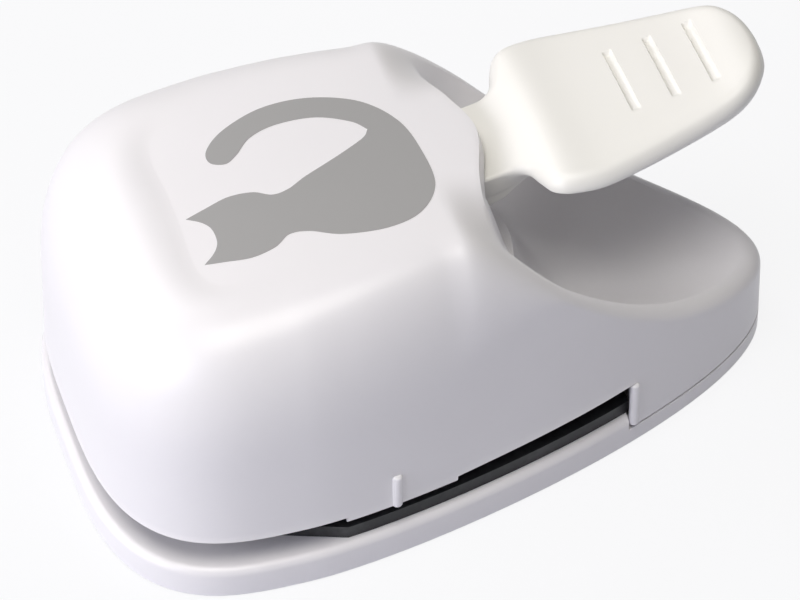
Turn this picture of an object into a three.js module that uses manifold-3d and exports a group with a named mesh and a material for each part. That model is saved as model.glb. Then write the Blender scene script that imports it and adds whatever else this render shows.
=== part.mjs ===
// Lever craft punch with a cat-shaped cutter: millimetres, +Z up, paper side at -Y, lever at +Y.
// The origin lies on the table, in the middle of the base.
import * as THREE from 'three';
import { mergeVertices } from 'three/addons/utils/BufferGeometryUtils.js';
import Module from 'manifold-3d';

const wasm = await Module();
wasm.setup();

// Shared clearances and cutting sizes
const seatGap = 0.1;        // between pieces that rest on one another
const slideGap = 0.15;      // round the cutter in its two plates
const runGap = 0.3;         // between pieces that move past one another
const boreGap = 0.08;       // round the pivot pin
const overrun = 2;          // how far every cut runs past its material
const roundSides = 24;
const screwSides = 12;
const cornerSteps = 3;
const frontSteps = 9;
const sideSteps = 6;
const wallSteps = 10;
const tailSteps = 9;

// Base and the stack of plates on it; the paper slides in between the plates
const base = { height: 5, tailHeight: 3, edgeRound: 1.2, roundShare: 0.3, footRound: 0.5, wall: 2.2,
  floor: 1.4 };
const die = { thickness: 2, inset: 1.45 };
const paper = { gap: 1.2, stopLength: 11 };
const guide = { thickness: 2.5, inset: 3.5 };
die.bottom = base.height + seatGap;
guide.bottom = die.bottom + die.thickness + paper.gap;
const guideTop = guide.bottom + guide.thickness;

// Pivot of the lever, behind the front edge of the body and above the plates, and its steel bracket
const pivot = { setback: 12.85, rise: 19.2, pinRadius: 2, barrelRadius: 4.5 };
const bracket = { gap: 0.9, sheet: 1.5, halfLength: 4.5, crown: 4.5 };
const pin = { stickOut: 1.8, headRadius: 3.2, headThickness: 1 };
const clip = { radius: 3.4, thickness: 0.7 };

// Cat cutter, its carrier, and the posts and springs beside it
const cat = { length: 33, frontRoom: 0.703, frontShare: 0.509, sideShare: 0.449, curveSteps: 3,
  sharpestShare: 0.25 };
const cutter = { lift: 0.6, shear: 0.6 };
const post = { sideRoom: 1.283, radius: 2.3, rise: 3.2, footRadius: 3.9, footThickness: 0.8 };
const carrier = { edge: 0.5, rearEdge: 0.5, frontRoom: 1.5, earEnd: 1.8, earHalfLength: 5.5,
  thickness: 3.2, corner: 2, padHalfWidth: 9, padHalfLength: 5, padHeight: 1, sideRoom: 7.9 };
const spring = { radius: 3.5, wire: 0.8, turnCount: 4, stepsPerTurn: 8, sides: 5 };
cat.halfWidth = cat.length * cat.sideShare;
post.x = cat.halfWidth + post.sideRoom + post.footRadius;
carrier.earHalfWidth = post.x + post.radius + runGap + carrier.earEnd;

// Plan of the body: a wide round front, sides that draw in to a narrow tail
const plan = { length: 101.7, widest: 25.65, frontPower: 3.1, sideShare: 0.23, tailShare: 0.53 };
plan.halfWidth = carrier.earHalfWidth + carrier.sideRoom;
plan.frontY = -plan.length / 2;
plan.rearY = plan.length / 2;
plan.widestY = plan.frontY + plan.widest;
plan.tailMiddleY = plan.rearY - plan.halfWidth * plan.tailShare;

// Places of the mechanism, worked back from the front edge
pivot.y = plan.frontY + pivot.setback;
pivot.z = guideTop + pivot.rise;
cat.y = pivot.y + bracket.halfLength + cat.frontRoom + cat.length * cat.frontShare;
carrier.halfWidth = cat.halfWidth + carrier.edge;
carrier.frontY = pivot.y + bracket.halfLength + carrier.frontRoom;
carrier.rearY = cat.y + cat.length / 2 - carrier.rearEdge;
const windowCut = { sideRoom: 4.18, frontRoom: 2.5, rearRoom: 3.5, corner: 4 };
windowCut.halfWidth = cat.halfWidth + windowCut.sideRoom;
windowCut.frontY = cat.y - cat.length / 2 - windowCut.frontRoom;
windowCut.rearY = cat.y + cat.length / 2 + windowCut.rearRoom;

// Outer form of the cover: the head over the cutter
const cover = { inset: 0.6, wall: 2.3, draftShare: 0.015, headRoom: 14.9, tiltShare: 0.105,
  topCrown: 2, crownReach: 32.3, frontShoulder: 14.7, rearShoulder: 8.7, shoulderUp: 18.5,
  rimRound: 2, tailRound: 3.5 };
cover.topHeight = pivot.z + cover.headRoom;
cover.levelY = cat.y;
cover.bottom = base.tailHeight + seatGap;

// The dished hollow behind the head, and the rim that sweeps down round it to the tail
const hollow = { behind: 7.9, bow: 9.8, bowReach: 21.54, bowPower: 1.5, floorHeight: 16.5, floorFall: 6,
  wallReach: 5, wallPower: 1.4, sidePower: 3, fadeBack: 5.2 };
const rim = { ahead: 5.9, endHeight: 7.1, reach: 27.6, power: 1.21, turnAhead: 9.4, turnLength: 16 };
hollow.frontY = cat.y + cat.length / 2 + hollow.behind;
hollow.fadeY = hollow.frontY + hollow.fadeBack;
rim.frontY = hollow.frontY - rim.ahead;
rim.turnY = hollow.frontY - rim.turnAhead;

// Paper slot between cover and base, with a lower tab on each side, and the ribs that mark and end it
const slot = { frontEdge: 9.65, tabEdge: 8.9, rearEdge: 9.6, endEdge: 11.3, tabFront: 3.45,
  tabRear: 13.15, behind: 17 };
const markRib = { behind: 4, radius: 0.75, stand: 0.5, height: 5.7 };
const endRib = { radius: 0.7, stand: 0.5, lift: 0.6 };
slot.tabFrontY = cat.y - slot.tabFront;
slot.tabRearY = cat.y + slot.tabRear;
slot.rearY = hollow.frontY + slot.behind;
slot.stepY = slot.rearY - endRib.radius - seatGap;
markRib.y = cat.y + markRib.behind;

// Outline of the plates
const plates = { frontIn: 15.3, cornerIn: 7.9, cornerBack: 7, sideBack: 6.2, rearGap: 0.4 };
plates.frontY = pivot.y - bracket.halfLength;
plates.cornerY = plates.frontY + plates.cornerBack;
plates.sideY = plan.widestY + plates.sideBack;
plates.rearY = slot.rearY - plates.rearGap;

// Lever: a neck as long as the head above it needs, and a paddle behind the door in the cover
const lever = { doorRoom: 7.975, paddleLength: 32.625, paddleShare: 0.625, riseShare: 1.517,
  doorTopShare: 0.62, neckHalfWidth: 7.5, paddleHalfWidth: 15.9, noseRadius: 3.6, skin: 1.8,
  skirt: 1.7, rib: 1.6 };
const groove = { count: 3, firstRoom: 13, pitch: 5.7, length: 12.4, width: 1.3, depth: 0.6 };
const leverDoor = { sideRoom: 4, front: 0.2, rear: 6.6, below: 4 };
lever.rise = cover.headRoom * lever.riseShare;
lever.paddleY = hollow.frontY + lever.doorRoom;
lever.neckLength = lever.paddleY - pivot.y;
leverDoor.halfWidth = lever.neckHalfWidth + leverDoor.sideRoom;
leverDoor.frontY = hollow.frontY + leverDoor.front;
leverDoor.rearY = hollow.frontY + leverDoor.rear;
leverDoor.bottom = pivot.z - leverDoor.below;
leverDoor.top = pivot.z + lever.rise * lever.doorTopShare;
carrier.top = pivot.z - lever.noseRadius - runGap;
carrier.bottom = carrier.top - carrier.padHeight - carrier.thickness;

// Screws and rivets
const coverScrew = { shank: 1.2, head: 2.2, headThickness: 1.1, length: 9, sideIn: 14.8,
  frontBack: 1.5, rearBack: 1.5 };
const boss = { radius: 2.9, clear: 0.15 };
const stackScrew = { shank: 1.4, head: 2.8, headThickness: 1.5, sideIn: 5.97, ahead: 5.4 };
const tailScrew = { shank: 1.3, head: 2.6, headThickness: 1.2, length: 7.4 };
const cutterScrew = { shank: 1.1, head: 2.1, headThickness: 1, depth: 5 };
const cutterScrewShares = [[0.167, -0.258], [0.197, 0.318]];
const rivet = { shank: 1.1, head: 1.9, headThickness: 0.8, x: 4.6 };
coverScrew.x = plan.halfWidth - coverScrew.sideIn;
plates.rearHalfWidth = halfWidthAt(plates.rearY) - guide.inset;
stackScrew.x = plates.rearHalfWidth - stackScrew.sideIn;
stackScrew.y = slot.rearY - stackScrew.ahead;
tailScrew.y = (slot.rearY + plan.rearY) / 2;
const coverScrewPlaces = [[coverScrew.x, pivot.y + coverScrew.frontBack],
  [coverScrew.x, windowCut.rearY + coverScrew.rearBack]];
const cutterScrewPlaces = cutterScrewShares.map(([x, y]) => [x * cat.length, cat.y + y * cat.length]);

const plastic = (color, roughness) => new THREE.MeshStandardMaterial({ color, roughness, metalness: 0 });
const metal = (color, roughness) => new THREE.MeshStandardMaterial({ color, roughness, metalness: 1 });
const white = plastic(0xf0efef, 0.35);
const ivory = plastic(0xf3efe2, 0.4);
const black = metal(0x2c2d30, 0.45);
const steel = metal(0xb9bcc0, 0.3);
const darkPlastic = plastic(0x333437, 0.5);

const model = new THREE.Group();

// Closed solids and booleans
function solid(geometry) {
  const bare = geometry.clone();
  bare.deleteAttribute('normal');
  bare.deleteAttribute('uv');
  const merged = mergeVertices(bare, 1e-5);
  const index = merged.index.array;
  const triVerts = [];
  for (let i = 0; i < index.length; i += 3) {
    const [a, b, c] = [index[i], index[i + 1], index[i + 2]];
    if (a !== b && b !== c && c !== a) triVerts.push(a, b, c);
  }
  const vertProperties = new Float32Array(merged.attributes.position.array);
  return new wasm.Manifold(new wasm.Mesh({ numProp: 3, vertProperties,
    triVerts: new Uint32Array(triVerts) }));
}

function addPiece(name, body, material) {
  const mesh = body.getMesh();
  const geometry = new THREE.BufferGeometry();
  geometry.setAttribute('position', new THREE.Float32BufferAttribute(Array.from(mesh.vertProperties), 3));
  geometry.setIndex(Array.from(mesh.triVerts));
  geometry.computeVertexNormals();
  const piece = new THREE.Mesh(geometry, material);
  piece.name = name;
  model.add(piece);
}

// A box between two corners
function block(x0, x1, y0, y1, z0, z1) {
  const geometry = new THREE.BoxGeometry(x1 - x0, y1 - y0, z1 - z0);
  geometry.translate((x0 + x1) / 2, (y0 + y1) / 2, (z0 + z1) / 2);
  return solid(geometry);
}

// A flat shape raised from z0 to z1
function raised(shape, z0, z1) {
  const geometry = new THREE.ExtrudeGeometry(shape, { depth: z1 - z0, bevelEnabled: false,
    curveSegments: cornerSteps });
  geometry.translate(0, 0, z0);
  return solid(geometry);
}

// A side profile drawn in Y and Z, spread from x0 to x1
function spread(shape, x0, x1) {
  const geometry = new THREE.ExtrudeGeometry(shape, { depth: x1 - x0, bevelEnabled: false });
  const [alongY, alongZ, alongX] = [new THREE.Vector3(0, 1, 0), new THREE.Vector3(0, 0, 1),
    new THREE.Vector3(1, 0, 0)];
  geometry.applyMatrix4(new THREE.Matrix4().makeBasis(alongY, alongZ, alongX));
  geometry.translate(x0, 0, 0);
  return solid(geometry);
}

// A turned piece from radius and height pairs, standing on Z
function turned(profile, x, y, sides = screwSides) {
  const points = profile.map(([radius, z]) => new THREE.Vector2(radius, z));
  const geometry = new THREE.LatheGeometry(points, sides);
  geometry.rotateX(Math.PI / 2);
  geometry.translate(x, y, 0);
  return solid(geometry);
}

function rod(x, y, radius, z0, z1) {
  return turned([[0, z0], [radius, z0], [radius, z1], [0, z1]], x, y);
}

function crossRod(y, z, radius, x0, x1) {
  const geometry = new THREE.CylinderGeometry(radius, radius, x1 - x0, roundSides);
  geometry.rotateZ(Math.PI / 2);
  geometry.translate((x0 + x1) / 2, y, z);
  return solid(geometry);
}

function polygon(points) {
  return new THREE.Shape(points.map(([x, y]) => new THREE.Vector2(x, y)));
}

// Smooth points through a few chosen ones
function smooth(points, steps) {
  const curve = new THREE.SplineCurve(points.map(([x, y]) => new THREE.Vector2(x, y)));
  return curve.getPoints((points.length - 1) * steps).map((p) => [p.x, p.y]);
}

function roundedBox(halfWidth, y0, y1, corner) {
  const shape = new THREE.Shape();
  shape.moveTo(-halfWidth + corner, y0);
  shape.lineTo(halfWidth - corner, y0);
  shape.absarc(halfWidth - corner, y0 + corner, corner, -Math.PI / 2, 0);
  shape.absarc(halfWidth - corner, y1 - corner, corner, 0, Math.PI / 2);
  shape.absarc(-halfWidth + corner, y1 - corner, corner, Math.PI / 2, Math.PI);
  shape.absarc(-halfWidth + corner, y0 + corner, corner, Math.PI, Math.PI * 3 / 2);
  return shape;
}

function bothSides(places) {
  return places.flatMap(([x, y]) => [[x, y], [-x, y]]);
}

// Plan outline: a superellipse in front and one cubic curve behind it
function frontPoint(turn) {
  const power = 2 / plan.frontPower;
  const depth = plan.frontY - plan.widestY;
  return [plan.halfWidth * Math.sin(turn) ** power, plan.widestY + depth * Math.cos(turn) ** power];
}

function sidePoint(t) {
  const depth = plan.rearY - plan.widestY;
  const curve = new THREE.CubicBezierCurve(
    new THREE.Vector2(plan.halfWidth, plan.widestY),
    new THREE.Vector2(plan.halfWidth, plan.widestY + depth * plan.sideShare),
    new THREE.Vector2(plan.halfWidth * plan.tailShare, plan.rearY),
    new THREE.Vector2(0, plan.rearY));
  const point = curve.getPoint(t);
  return [point.x, point.y];
}

function sideAt(y) {
  let [low, high] = [0, 1];
  for (let i = 0; i < 40; i++) {
    const middle = (low + high) / 2;
    if (sidePoint(middle)[1] < y) low = middle;
    else high = middle;
  }
  return low;
}

function halfWidthAt(y) {
  if (y > plan.widestY) return sidePoint(sideAt(y))[0];
  const share = Math.min(1, (y - plan.widestY) / (plan.frontY - plan.widestY));
  return plan.halfWidth * (1 - share ** plan.frontPower) ** (1 / plan.frontPower);
}

// Stations from the front of the body to the end of its tail, closest where the head drops to the tail
function makeStations() {
  const points = [];
  for (let i = 0; i < frontSteps; i++) points.push(frontPoint(Math.PI / 2 * i / frontSteps));
  const wallStart = hollow.frontY - hollow.bow - hollow.wallReach;
  const wallEnd = hollow.frontY + hollow.wallReach / 2;
  const tList = [];
  const frontReach = wallStart - plan.widestY;
  for (let i = 0; i < sideSteps; i++) tList.push(sideAt(plan.widestY + frontReach * i / sideSteps));
  const wallReach = wallEnd - wallStart;
  for (let i = 0; i < wallSteps; i++) tList.push(sideAt(wallStart + wallReach * i / wallSteps));
  const tailStart = sideAt(wallEnd);
  for (let i = 0; i <= tailSteps; i++) tList.push(tailStart + (1 - tailStart) * i / tailSteps);
  for (const t of tList) points.push(sidePoint(t));
  return points.map((point, i) => {
    const before = points[Math.max(0, i - 1)];
    const after = points[Math.min(points.length - 1, i + 1)];
    const along = Math.hypot(after[0] - before[0], after[1] - before[1]);
    const atEnd = i === 0 || i === points.length - 1;
    const normal = [(after[1] - before[1]) / along, -(after[0] - before[0]) / along];
    if (atEnd) return { x: 0, y: point[1], across: 0, outward: i === 0 ? -1 : 1 };
    return { x: point[0], y: point[1], across: normal[0], outward: normal[1] };
  });
}

const stations = makeStations();

// The point of the middle line that a station draws in to
function middlePoint(station) {
  return [0, Math.min(Math.max(station.y, plan.frontY + plan.halfWidth), plan.tailMiddleY)];
}

// A station moved in towards the middle line, by an inset measured square to the outline
function insetPoint(station, inset) {
  const [middleX, middleY] = middlePoint(station);
  const distance = Math.hypot(station.x - middleX, station.y - middleY);
  const [inX, inY] = [(middleX - station.x) / distance, (middleY - station.y) / distance];
  const reach = -inset / (station.across * inX + station.outward * inY);
  return [station.x + inX * reach, station.y + inY * reach];
}

// The lines across the body bend with the bowed rear edge of the head
function bowOf(x) {
  return hollow.bow * Math.abs(x / hollow.bowReach) ** hollow.bowPower;
}

function bentPoint(station, x0, y0, share) {
  const [middleX, middleY] = middlePoint(station);
  const fade = ease((station.y - cover.levelY) / hollow.bow) *
    (1 - ease((station.y - hollow.fadeY) / (plan.tailMiddleY - hollow.fadeY)));
  const bend = bowOf(x0) * fade * (1 - share ** 2);
  return [middleX + (x0 - middleX) * share, middleY + (y0 - middleY) * share + bend];
}

// A closed body from rings round the plan; the last ring closes on the middle line
function skin(rings) {
  const last = stations.length - 1;
  const around = last * 2;
  const positions = [];
  for (const ring of rings) {
    for (let i = 0; i < around; i++) {
      const mirrored = i > last;
      const [x, y, z] = ring(stations[mirrored ? around - i : i]);
      positions.push(mirrored ? -x : x, y, z);
    }
  }
  const index = [];
  for (let r = 0; r < rings.length - 1; r++) {
    for (let i = 0; i < around; i++) {
      const next = (i + 1) % around;
      const [a, b, c, d] = [r * around + i, r * around + next, (r + 1) * around + next,
        (r + 1) * around + i];
      index.push(a, b, c, a, c, d);
    }
  }
  for (let i = 0; i < last; i++) {
    const [a, b, c, d] = [i, i + 1, (around - i - 1) % around, (around - i) % around];
    index.push(a, d, b);
    if (c !== b) index.push(d, c, b);
  }
  const geometry = new THREE.BufferGeometry();
  geometry.setAttribute('position', new THREE.Float32BufferAttribute(positions, 3));
  geometry.setIndex(index);
  return solid(geometry);
}

// Heights of the cover: head, the dished hollow behind it, and the rim that sweeps down to the tail
function headHeight(y) {
  const back = Math.min(y, hollow.frontY) - cover.levelY;
  return cover.topHeight + cover.tiltShare * back - cover.topCrown * (back / cover.crownReach) ** 2;
}

function hollowHeight(x, y) {
  const back = Math.max(0, y + bowOf(x) - hollow.frontY);
  const fall = Math.exp(-((back / hollow.wallReach) ** hollow.wallPower));
  const along = Math.max(0, y - hollow.frontY) / (plan.rearY - hollow.frontY);
  const floor = hollow.floorHeight - hollow.floorFall * along;
  return floor + (headHeight(y) - floor) * fall;
}

function rimHeight(y) {
  const back = Math.max(0, y - rim.frontY);
  return rim.endHeight + (headHeight(y) - rim.endHeight) * Math.exp(-((back / rim.reach) ** rim.power));
}

function ease(share) {
  const t = Math.min(1, Math.max(0, share));
  return t * t * (3 - 2 * t);
}

// How far the edge between wall and top is rounded, across and upwards
function edgeRound(y, across) {
  const along = ease((y - plan.frontY) / (rim.frontY - plan.frontY));
  const acrossHead = cover.frontShoulder + (cover.rearShoulder - cover.frontShoulder) * along;
  const head = across ? acrossHead : cover.shoulderUp;
  const toRim = ease((y - rim.turnY) / rim.turnLength);
  const toTail = ease((y - slot.rearY) / (plan.rearY - slot.rearY));
  return head + (cover.rimRound - head) * toRim + (cover.tailRound - cover.rimRound) * toTail;
}

function coverSkin(wall, bottom, withRim, shoulderSteps, topSteps) {
  const across = (station) => Math.max(wall ? runGap : 0, edgeRound(station.y, true) - wall);
  const up = (station) => Math.max(wall ? runGap : 0, edgeRound(station.y, false) - wall);
  const step = (y) => cover.inset * (1 - ease((y - slot.tabRearY) / (slot.rearY - slot.tabRearY)));
  const inset = (station, z) => step(station.y) + wall + cover.draftShare * (z - cover.bottom);
  const surface = (x, y, share) => {
    const low = hollowHeight(x, y + wall) - wall;
    if (!withRim) return low;
    return low + Math.max(0, rimHeight(y) - low) * share ** hollow.sidePower;
  };
  const edge = (station) => {
    const full = inset(station, cover.topHeight) + across(station);
    const [x, y] = insetPoint(station, full);
    return { full, x, y, z: surface(x, y, 1) };
  };
  const rings = [(station) => [...insetPoint(station, inset(station, bottom)), bottom]];
  for (let i = 0; i <= shoulderSteps; i++) {
    const turn = Math.PI / 2 * i / shoulderSteps;
    rings.push((station) => {
      const end = edge(station);
      const z = end.z - up(station) * (1 - Math.sin(turn));
      const slack = inset(station, cover.topHeight) - inset(station, z);
      const reach = inset(station, z) + across(station) * (1 - Math.cos(turn))
        + slack * Math.sin(turn) ** 2;
      return [...insetPoint(station, reach), z];
    });
  }
  for (let i = 1; i <= topSteps; i++) {
    const share = 1 - i / topSteps;
    rings.push((station) => {
      const end = edge(station);
      const [x, y] = bentPoint(station, end.x, end.y, share);
      return [x, y, surface(x, y, share)];
    });
  }
  return skin(rings);
}

// Cat outline in shares of its length: head and back down to the tail, the tail and belly, and the ears
const catSideShares = [[0.068, -0.509], [0.045, -0.42], [0.022, -0.32], [0.038, -0.22],
  [0.085, -0.15], [0.08, -0.08], [0.04, 0], [0, 0.1], [-0.043, 0.2], [-0.09, 0.29], [-0.13, 0.32]];
const catTailShares = [[-0.13, 0.32], [-0.2, 0.268], [-0.278, 0.14], [-0.3, -0.02], [-0.27, -0.14],
  [-0.195, -0.22], [-0.165, -0.275], [-0.2, -0.333], [-0.275, -0.325], [-0.36, -0.23],
  [-0.42, -0.05], [-0.4, 0.15], [-0.3, 0.34], [-0.13, 0.455], [0.08, 0.49], [0.28, 0.48],
  [0.41, 0.38], [0.449, 0.23], [0.415, 0.05], [0.345, -0.07], [0.33, -0.15], [0.375, -0.22],
  [0.392, -0.32], [0.37, -0.42], [0.347, -0.509]];
const catEarShares = [[0.347, -0.509], [0.305, -0.46], [0.26, -0.432], [0.208, -0.425],
  [0.155, -0.432], [0.11, -0.46], [0.068, -0.509]];

function catOutline(grow) {
  const stretches = [catSideShares, catTailShares, catEarShares];
  const loop = stretches.flatMap((shares) => smooth(shares, cat.curveSteps).slice(0, -1));
  const points = loop.map(([x, y]) => [x * cat.length, cat.y + y * cat.length]);
  return points.map((point, i) => {
    const before = points[(i + points.length - 1) % points.length];
    const after = points[(i + 1) % points.length];
    const [first, second] = [unitStep(before, point), unitStep(point, after)];
    const [sumX, sumY] = [first[0] + second[0], first[1] + second[1]];
    const reach = grow * 2 / Math.max(cat.sharpestShare, sumX ** 2 + sumY ** 2);
    return [point[0] - sumY * reach, point[1] + sumX * reach];
  });
}

function unitStep(from, to) {
  const along = Math.hypot(to[0] - from[0], to[1] - from[1]);
  return [(to[0] - from[0]) / along, (to[1] - from[1]) / along];
}

// Base: rounded tray edge, a window that the paper shapes fall through, and moulded pockets underneath
function makeBase() {
  const flat = (inset, z) => (station) => [...insetPoint(station, inset), z];
  let body = skin([flat(base.footRound, 0), flat(0, base.footRound),
    flat(0, base.height - base.edgeRound),
    flat(base.edgeRound * base.roundShare, base.height - base.edgeRound * base.roundShare),
    flat(base.edgeRound, base.height),
    (station) => [...middlePoint(station), base.height]]);
  const wide = plan.halfWidth + overrun;
  body = body.subtract(block(-wide, wide, slot.stepY, plan.rearY + overrun, base.tailHeight,
    base.height + overrun));
  const opening = roundedBox(windowCut.halfWidth, windowCut.frontY, windowCut.rearY, windowCut.corner);
  body = body.subtract(raised(opening, -overrun, base.height + overrun));
  for (const side of [-1, 1]) {
    const x0 = Math.min(side * base.wall / 2, side * (stackScrew.x - stackScrew.head - base.wall));
    const x1 = Math.max(side * base.wall / 2, side * (stackScrew.x - stackScrew.head - base.wall));
    const y0 = windowCut.rearY + base.wall;
    body = body.subtract(block(x0, x1, y0, slot.rearY - base.wall, -overrun, base.height - base.floor));
    body = body.subtract(rod(side * stackScrew.x, stackScrew.y, stackScrew.shank + boss.clear, -overrun,
      base.height + overrun));
    body = body.subtract(rod(side * stackScrew.x, stackScrew.y, stackScrew.head + boss.clear, -overrun,
      base.floor + stackScrew.headThickness));
  }
  const frontPocket = roundedBox(windowCut.halfWidth - base.wall, plan.frontY + base.wall * 3,
    windowCut.frontY - base.wall, base.wall);
  body = body.subtract(raised(frontPocket, -overrun, base.height - base.floor));
  body = body.add(block(-base.wall / 2, base.wall / 2, plan.frontY + base.wall * 2,
    windowCut.frontY - base.wall / 2, base.footRound, base.height - base.floor / 2));
  body = body.subtract(rod(0, tailScrew.y, tailScrew.shank + boss.clear, -overrun, base.height));
  body = body.subtract(rod(0, tailScrew.y, tailScrew.head + boss.clear, -overrun,
    base.tailHeight - base.floor));
  addPiece('base_tray', body, white);
}

// Cover: moulded shell with a paper slot, guide marks, screw bosses and the opening for the lever
function makeCover() {
  const outside = coverSkin(0, cover.bottom, true, 5, 8);
  const inside = coverSkin(cover.wall, cover.bottom - overrun, false, 3, 6);
  let body = outside.subtract(inside);
  for (const [x, y] of bothSides(coverScrewPlaces)) {
    body = body.add(rod(x, y, boss.radius, guideTop + seatGap, cover.topHeight).intersect(outside));
  }
  body = body.add(rod(0, tailScrew.y, boss.radius, cover.bottom, cover.topHeight).intersect(outside));
  const wide = plan.halfWidth + overrun;
  const frontCut = block(-wide, wide, plan.frontY - overrun, slot.tabFrontY, -overrun, slot.frontEdge);
  const tabCut = block(-wide, wide, slot.tabFrontY, slot.tabRearY, -overrun, slot.tabEdge);
  const rearCut = polygon([[slot.tabRearY, -overrun], [slot.rearY, -overrun], [slot.rearY, slot.endEdge],
    [slot.tabRearY, slot.rearEdge]]);
  body = body.subtract(frontCut).subtract(tabCut).subtract(spread(rearCut, -wide, wide));
  for (const side of [-1, 1]) {
    const markX = halfWidthAt(markRib.y) - cover.inset - markRib.radius + markRib.stand;
    const endX = halfWidthAt(slot.rearY) - endRib.radius + endRib.stand;
    body = body.add(rod(side * markX, markRib.y, markRib.radius, slot.tabEdge,
      slot.tabEdge + markRib.height));
    body = body.add(rod(side * endX, slot.rearY, endRib.radius, cover.bottom + endRib.lift,
      slot.endEdge + seatGap));
  }
  const { halfWidth, frontY, rearY, bottom } = leverDoor;
  body = body.subtract(block(-halfWidth, halfWidth, frontY, rearY, bottom,
    cover.topHeight + overrun * 2));
  body = body.subtract(block(-halfWidth, halfWidth, hollow.frontY - cover.wall * 2, rearY, bottom,
    leverDoor.top));
  const pilot = coverScrew.shank + boss.clear;
  for (const [x, y] of bothSides(coverScrewPlaces)) {
    body = body.subtract(rod(x, y, pilot, guide.bottom, guide.bottom + coverScrew.length + seatGap));
  }
  body = body.subtract(rod(0, tailScrew.y, tailScrew.shank + boss.clear, 0,
    base.tailHeight - base.floor - tailScrew.headThickness + tailScrew.length + seatGap));
  addPiece('top_cover', body, white);
}

// Lever side profile and plan, in shares of its reach, its rise and its paddle's half width
const leverTopShares = [[-0.02, 0.17], [0.183, 0.313], [0.365, 0.461], [0.479, 0.552],
  [0.531, 0.587], [0.565, 0.609], [0.588, 0.652], [0.611, 0.713], [0.634, 0.735], [0.696, 0.75],
  [0.765, 0.788], [0.833, 0.836], [0.902, 0.904], [0.959, 0.987], [0.989, 0.988], [1, 0.92]];
const leverBottomShares = [[1, 0.92], [0.997, 0.845], [0.965, 0.809], [0.89, 0.765], [0.811, 0.704],
  [0.719, 0.652], [0.639, 0.617], [0.599, 0.574], [0.576, 0.452], [0.548, 0.365], [0.479, 0.3],
  [0.365, 0.174], [0.251, 0], [0.16, -0.02], [0.068, -0.065], [-0.02, -0.11]];
const leverPlanShares = [[-0.06, 0.463], [0.525, 0.463], [0.565, 0.465], [0.585, 0.53],
  [0.599, 0.76], [0.612, 0.93], [0.635, 0.99], [0.685, 0.963], [0.753, 0.883], [0.822, 0.796],
  [0.879, 0.722], [0.925, 0.642], [0.959, 0.53], [0.984, 0.346], [0.996, 0.16], [1, 0]];

function leverY(along) {
  if (along < lever.paddleShare) return pivot.y + lever.neckLength * along / lever.paddleShare;
  return lever.paddleY + lever.paddleLength * (along - lever.paddleShare) / (1 - lever.paddleShare);
}

function leverPoint([along, up]) {
  return [leverY(along), pivot.z + up * lever.rise];
}

function leverHeight(y) {
  const points = leverTopShares.map(leverPoint);
  for (let i = 1; i < points.length; i++) {
    const [[y0, z0], [y1, z1]] = [points[i - 1], points[i]];
    if (y <= y1) return z0 + (z1 - z0) * (y - y0) / (y1 - y0);
  }
  return points[points.length - 1][1];
}

// Half of the lever's plan, drawn in by an inset and begun at a share of its reach
function leverPlan(inset, fromShare) {
  const scaled = leverPlanShares.map(([along, half]) => [half * lever.paddleHalfWidth, leverY(along)]);
  const start = leverY(fromShare);
  const tipY = leverY(1) - inset;
  const right = smooth(scaled, 2).filter(([, y]) => y >= start && y < tipY)
    .map(([x, y]) => [Math.max(inset / 2, x - inset), y]);
  const left = right.slice().reverse().map(([x, y]) => [-x, y]);
  return polygon([...right, [0, tipY], ...left]);
}

function makeLever() {
  const top = smooth(leverTopShares.map(leverPoint), 2);
  const bottom = smooth(leverBottomShares.map(leverPoint), 2);
  const side = polygon([...top, ...bottom.slice(1)]);
  const halfWidth = lever.paddleHalfWidth + overrun;
  const lift = pivot.z + lever.rise + overrun;
  let body = spread(side, -halfWidth, halfWidth).intersect(raised(leverPlan(0, -1), 0, lift));
  body = body.add(crossRod(pivot.y, pivot.z, pivot.barrelRadius, -lever.neckHalfWidth,
    lever.neckHalfWidth));
  body = body.add(crossRod(cat.y, pivot.z, lever.noseRadius, -lever.neckHalfWidth, lever.neckHalfWidth));
  // Hollow under the paddle, with a rib left down its middle
  const pocketTop = top.filter(([y]) => y > lever.paddleY).map(([y, z]) => [y, z - lever.skin]);
  const pocketBottom = pocketTop.slice().reverse().map(([y, z]) => [y, z - lever.rise / 2]);
  const pocket = spread(polygon([...pocketTop, ...pocketBottom]), -halfWidth, halfWidth)
    .intersect(raised(leverPlan(lever.skirt, lever.paddleShare), 0, lift));
  const rib = block(-lever.rib / 2, lever.rib / 2, pivot.y, leverY(1), 0, lift);
  body = body.subtract(pocket.subtract(rib));
  // Finger grooves across the paddle
  for (let i = 0; i < groove.count; i++) {
    const y = lever.paddleY + groove.firstRoom + groove.pitch * i;
    const slope = Math.atan2(leverHeight(y + groove.width) - leverHeight(y), groove.width);
    const cut = new THREE.BoxGeometry(groove.length, groove.width, groove.depth * 2);
    cut.rotateX(slope);
    cut.translate(0, y, leverHeight(y));
    body = body.subtract(solid(cut));
  }
  const bore = pivot.pinRadius + boreGap;
  body = body.subtract(crossRod(pivot.y, pivot.z, bore, -halfWidth, halfWidth));
  addPiece('lever', body, ivory);
}

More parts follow.
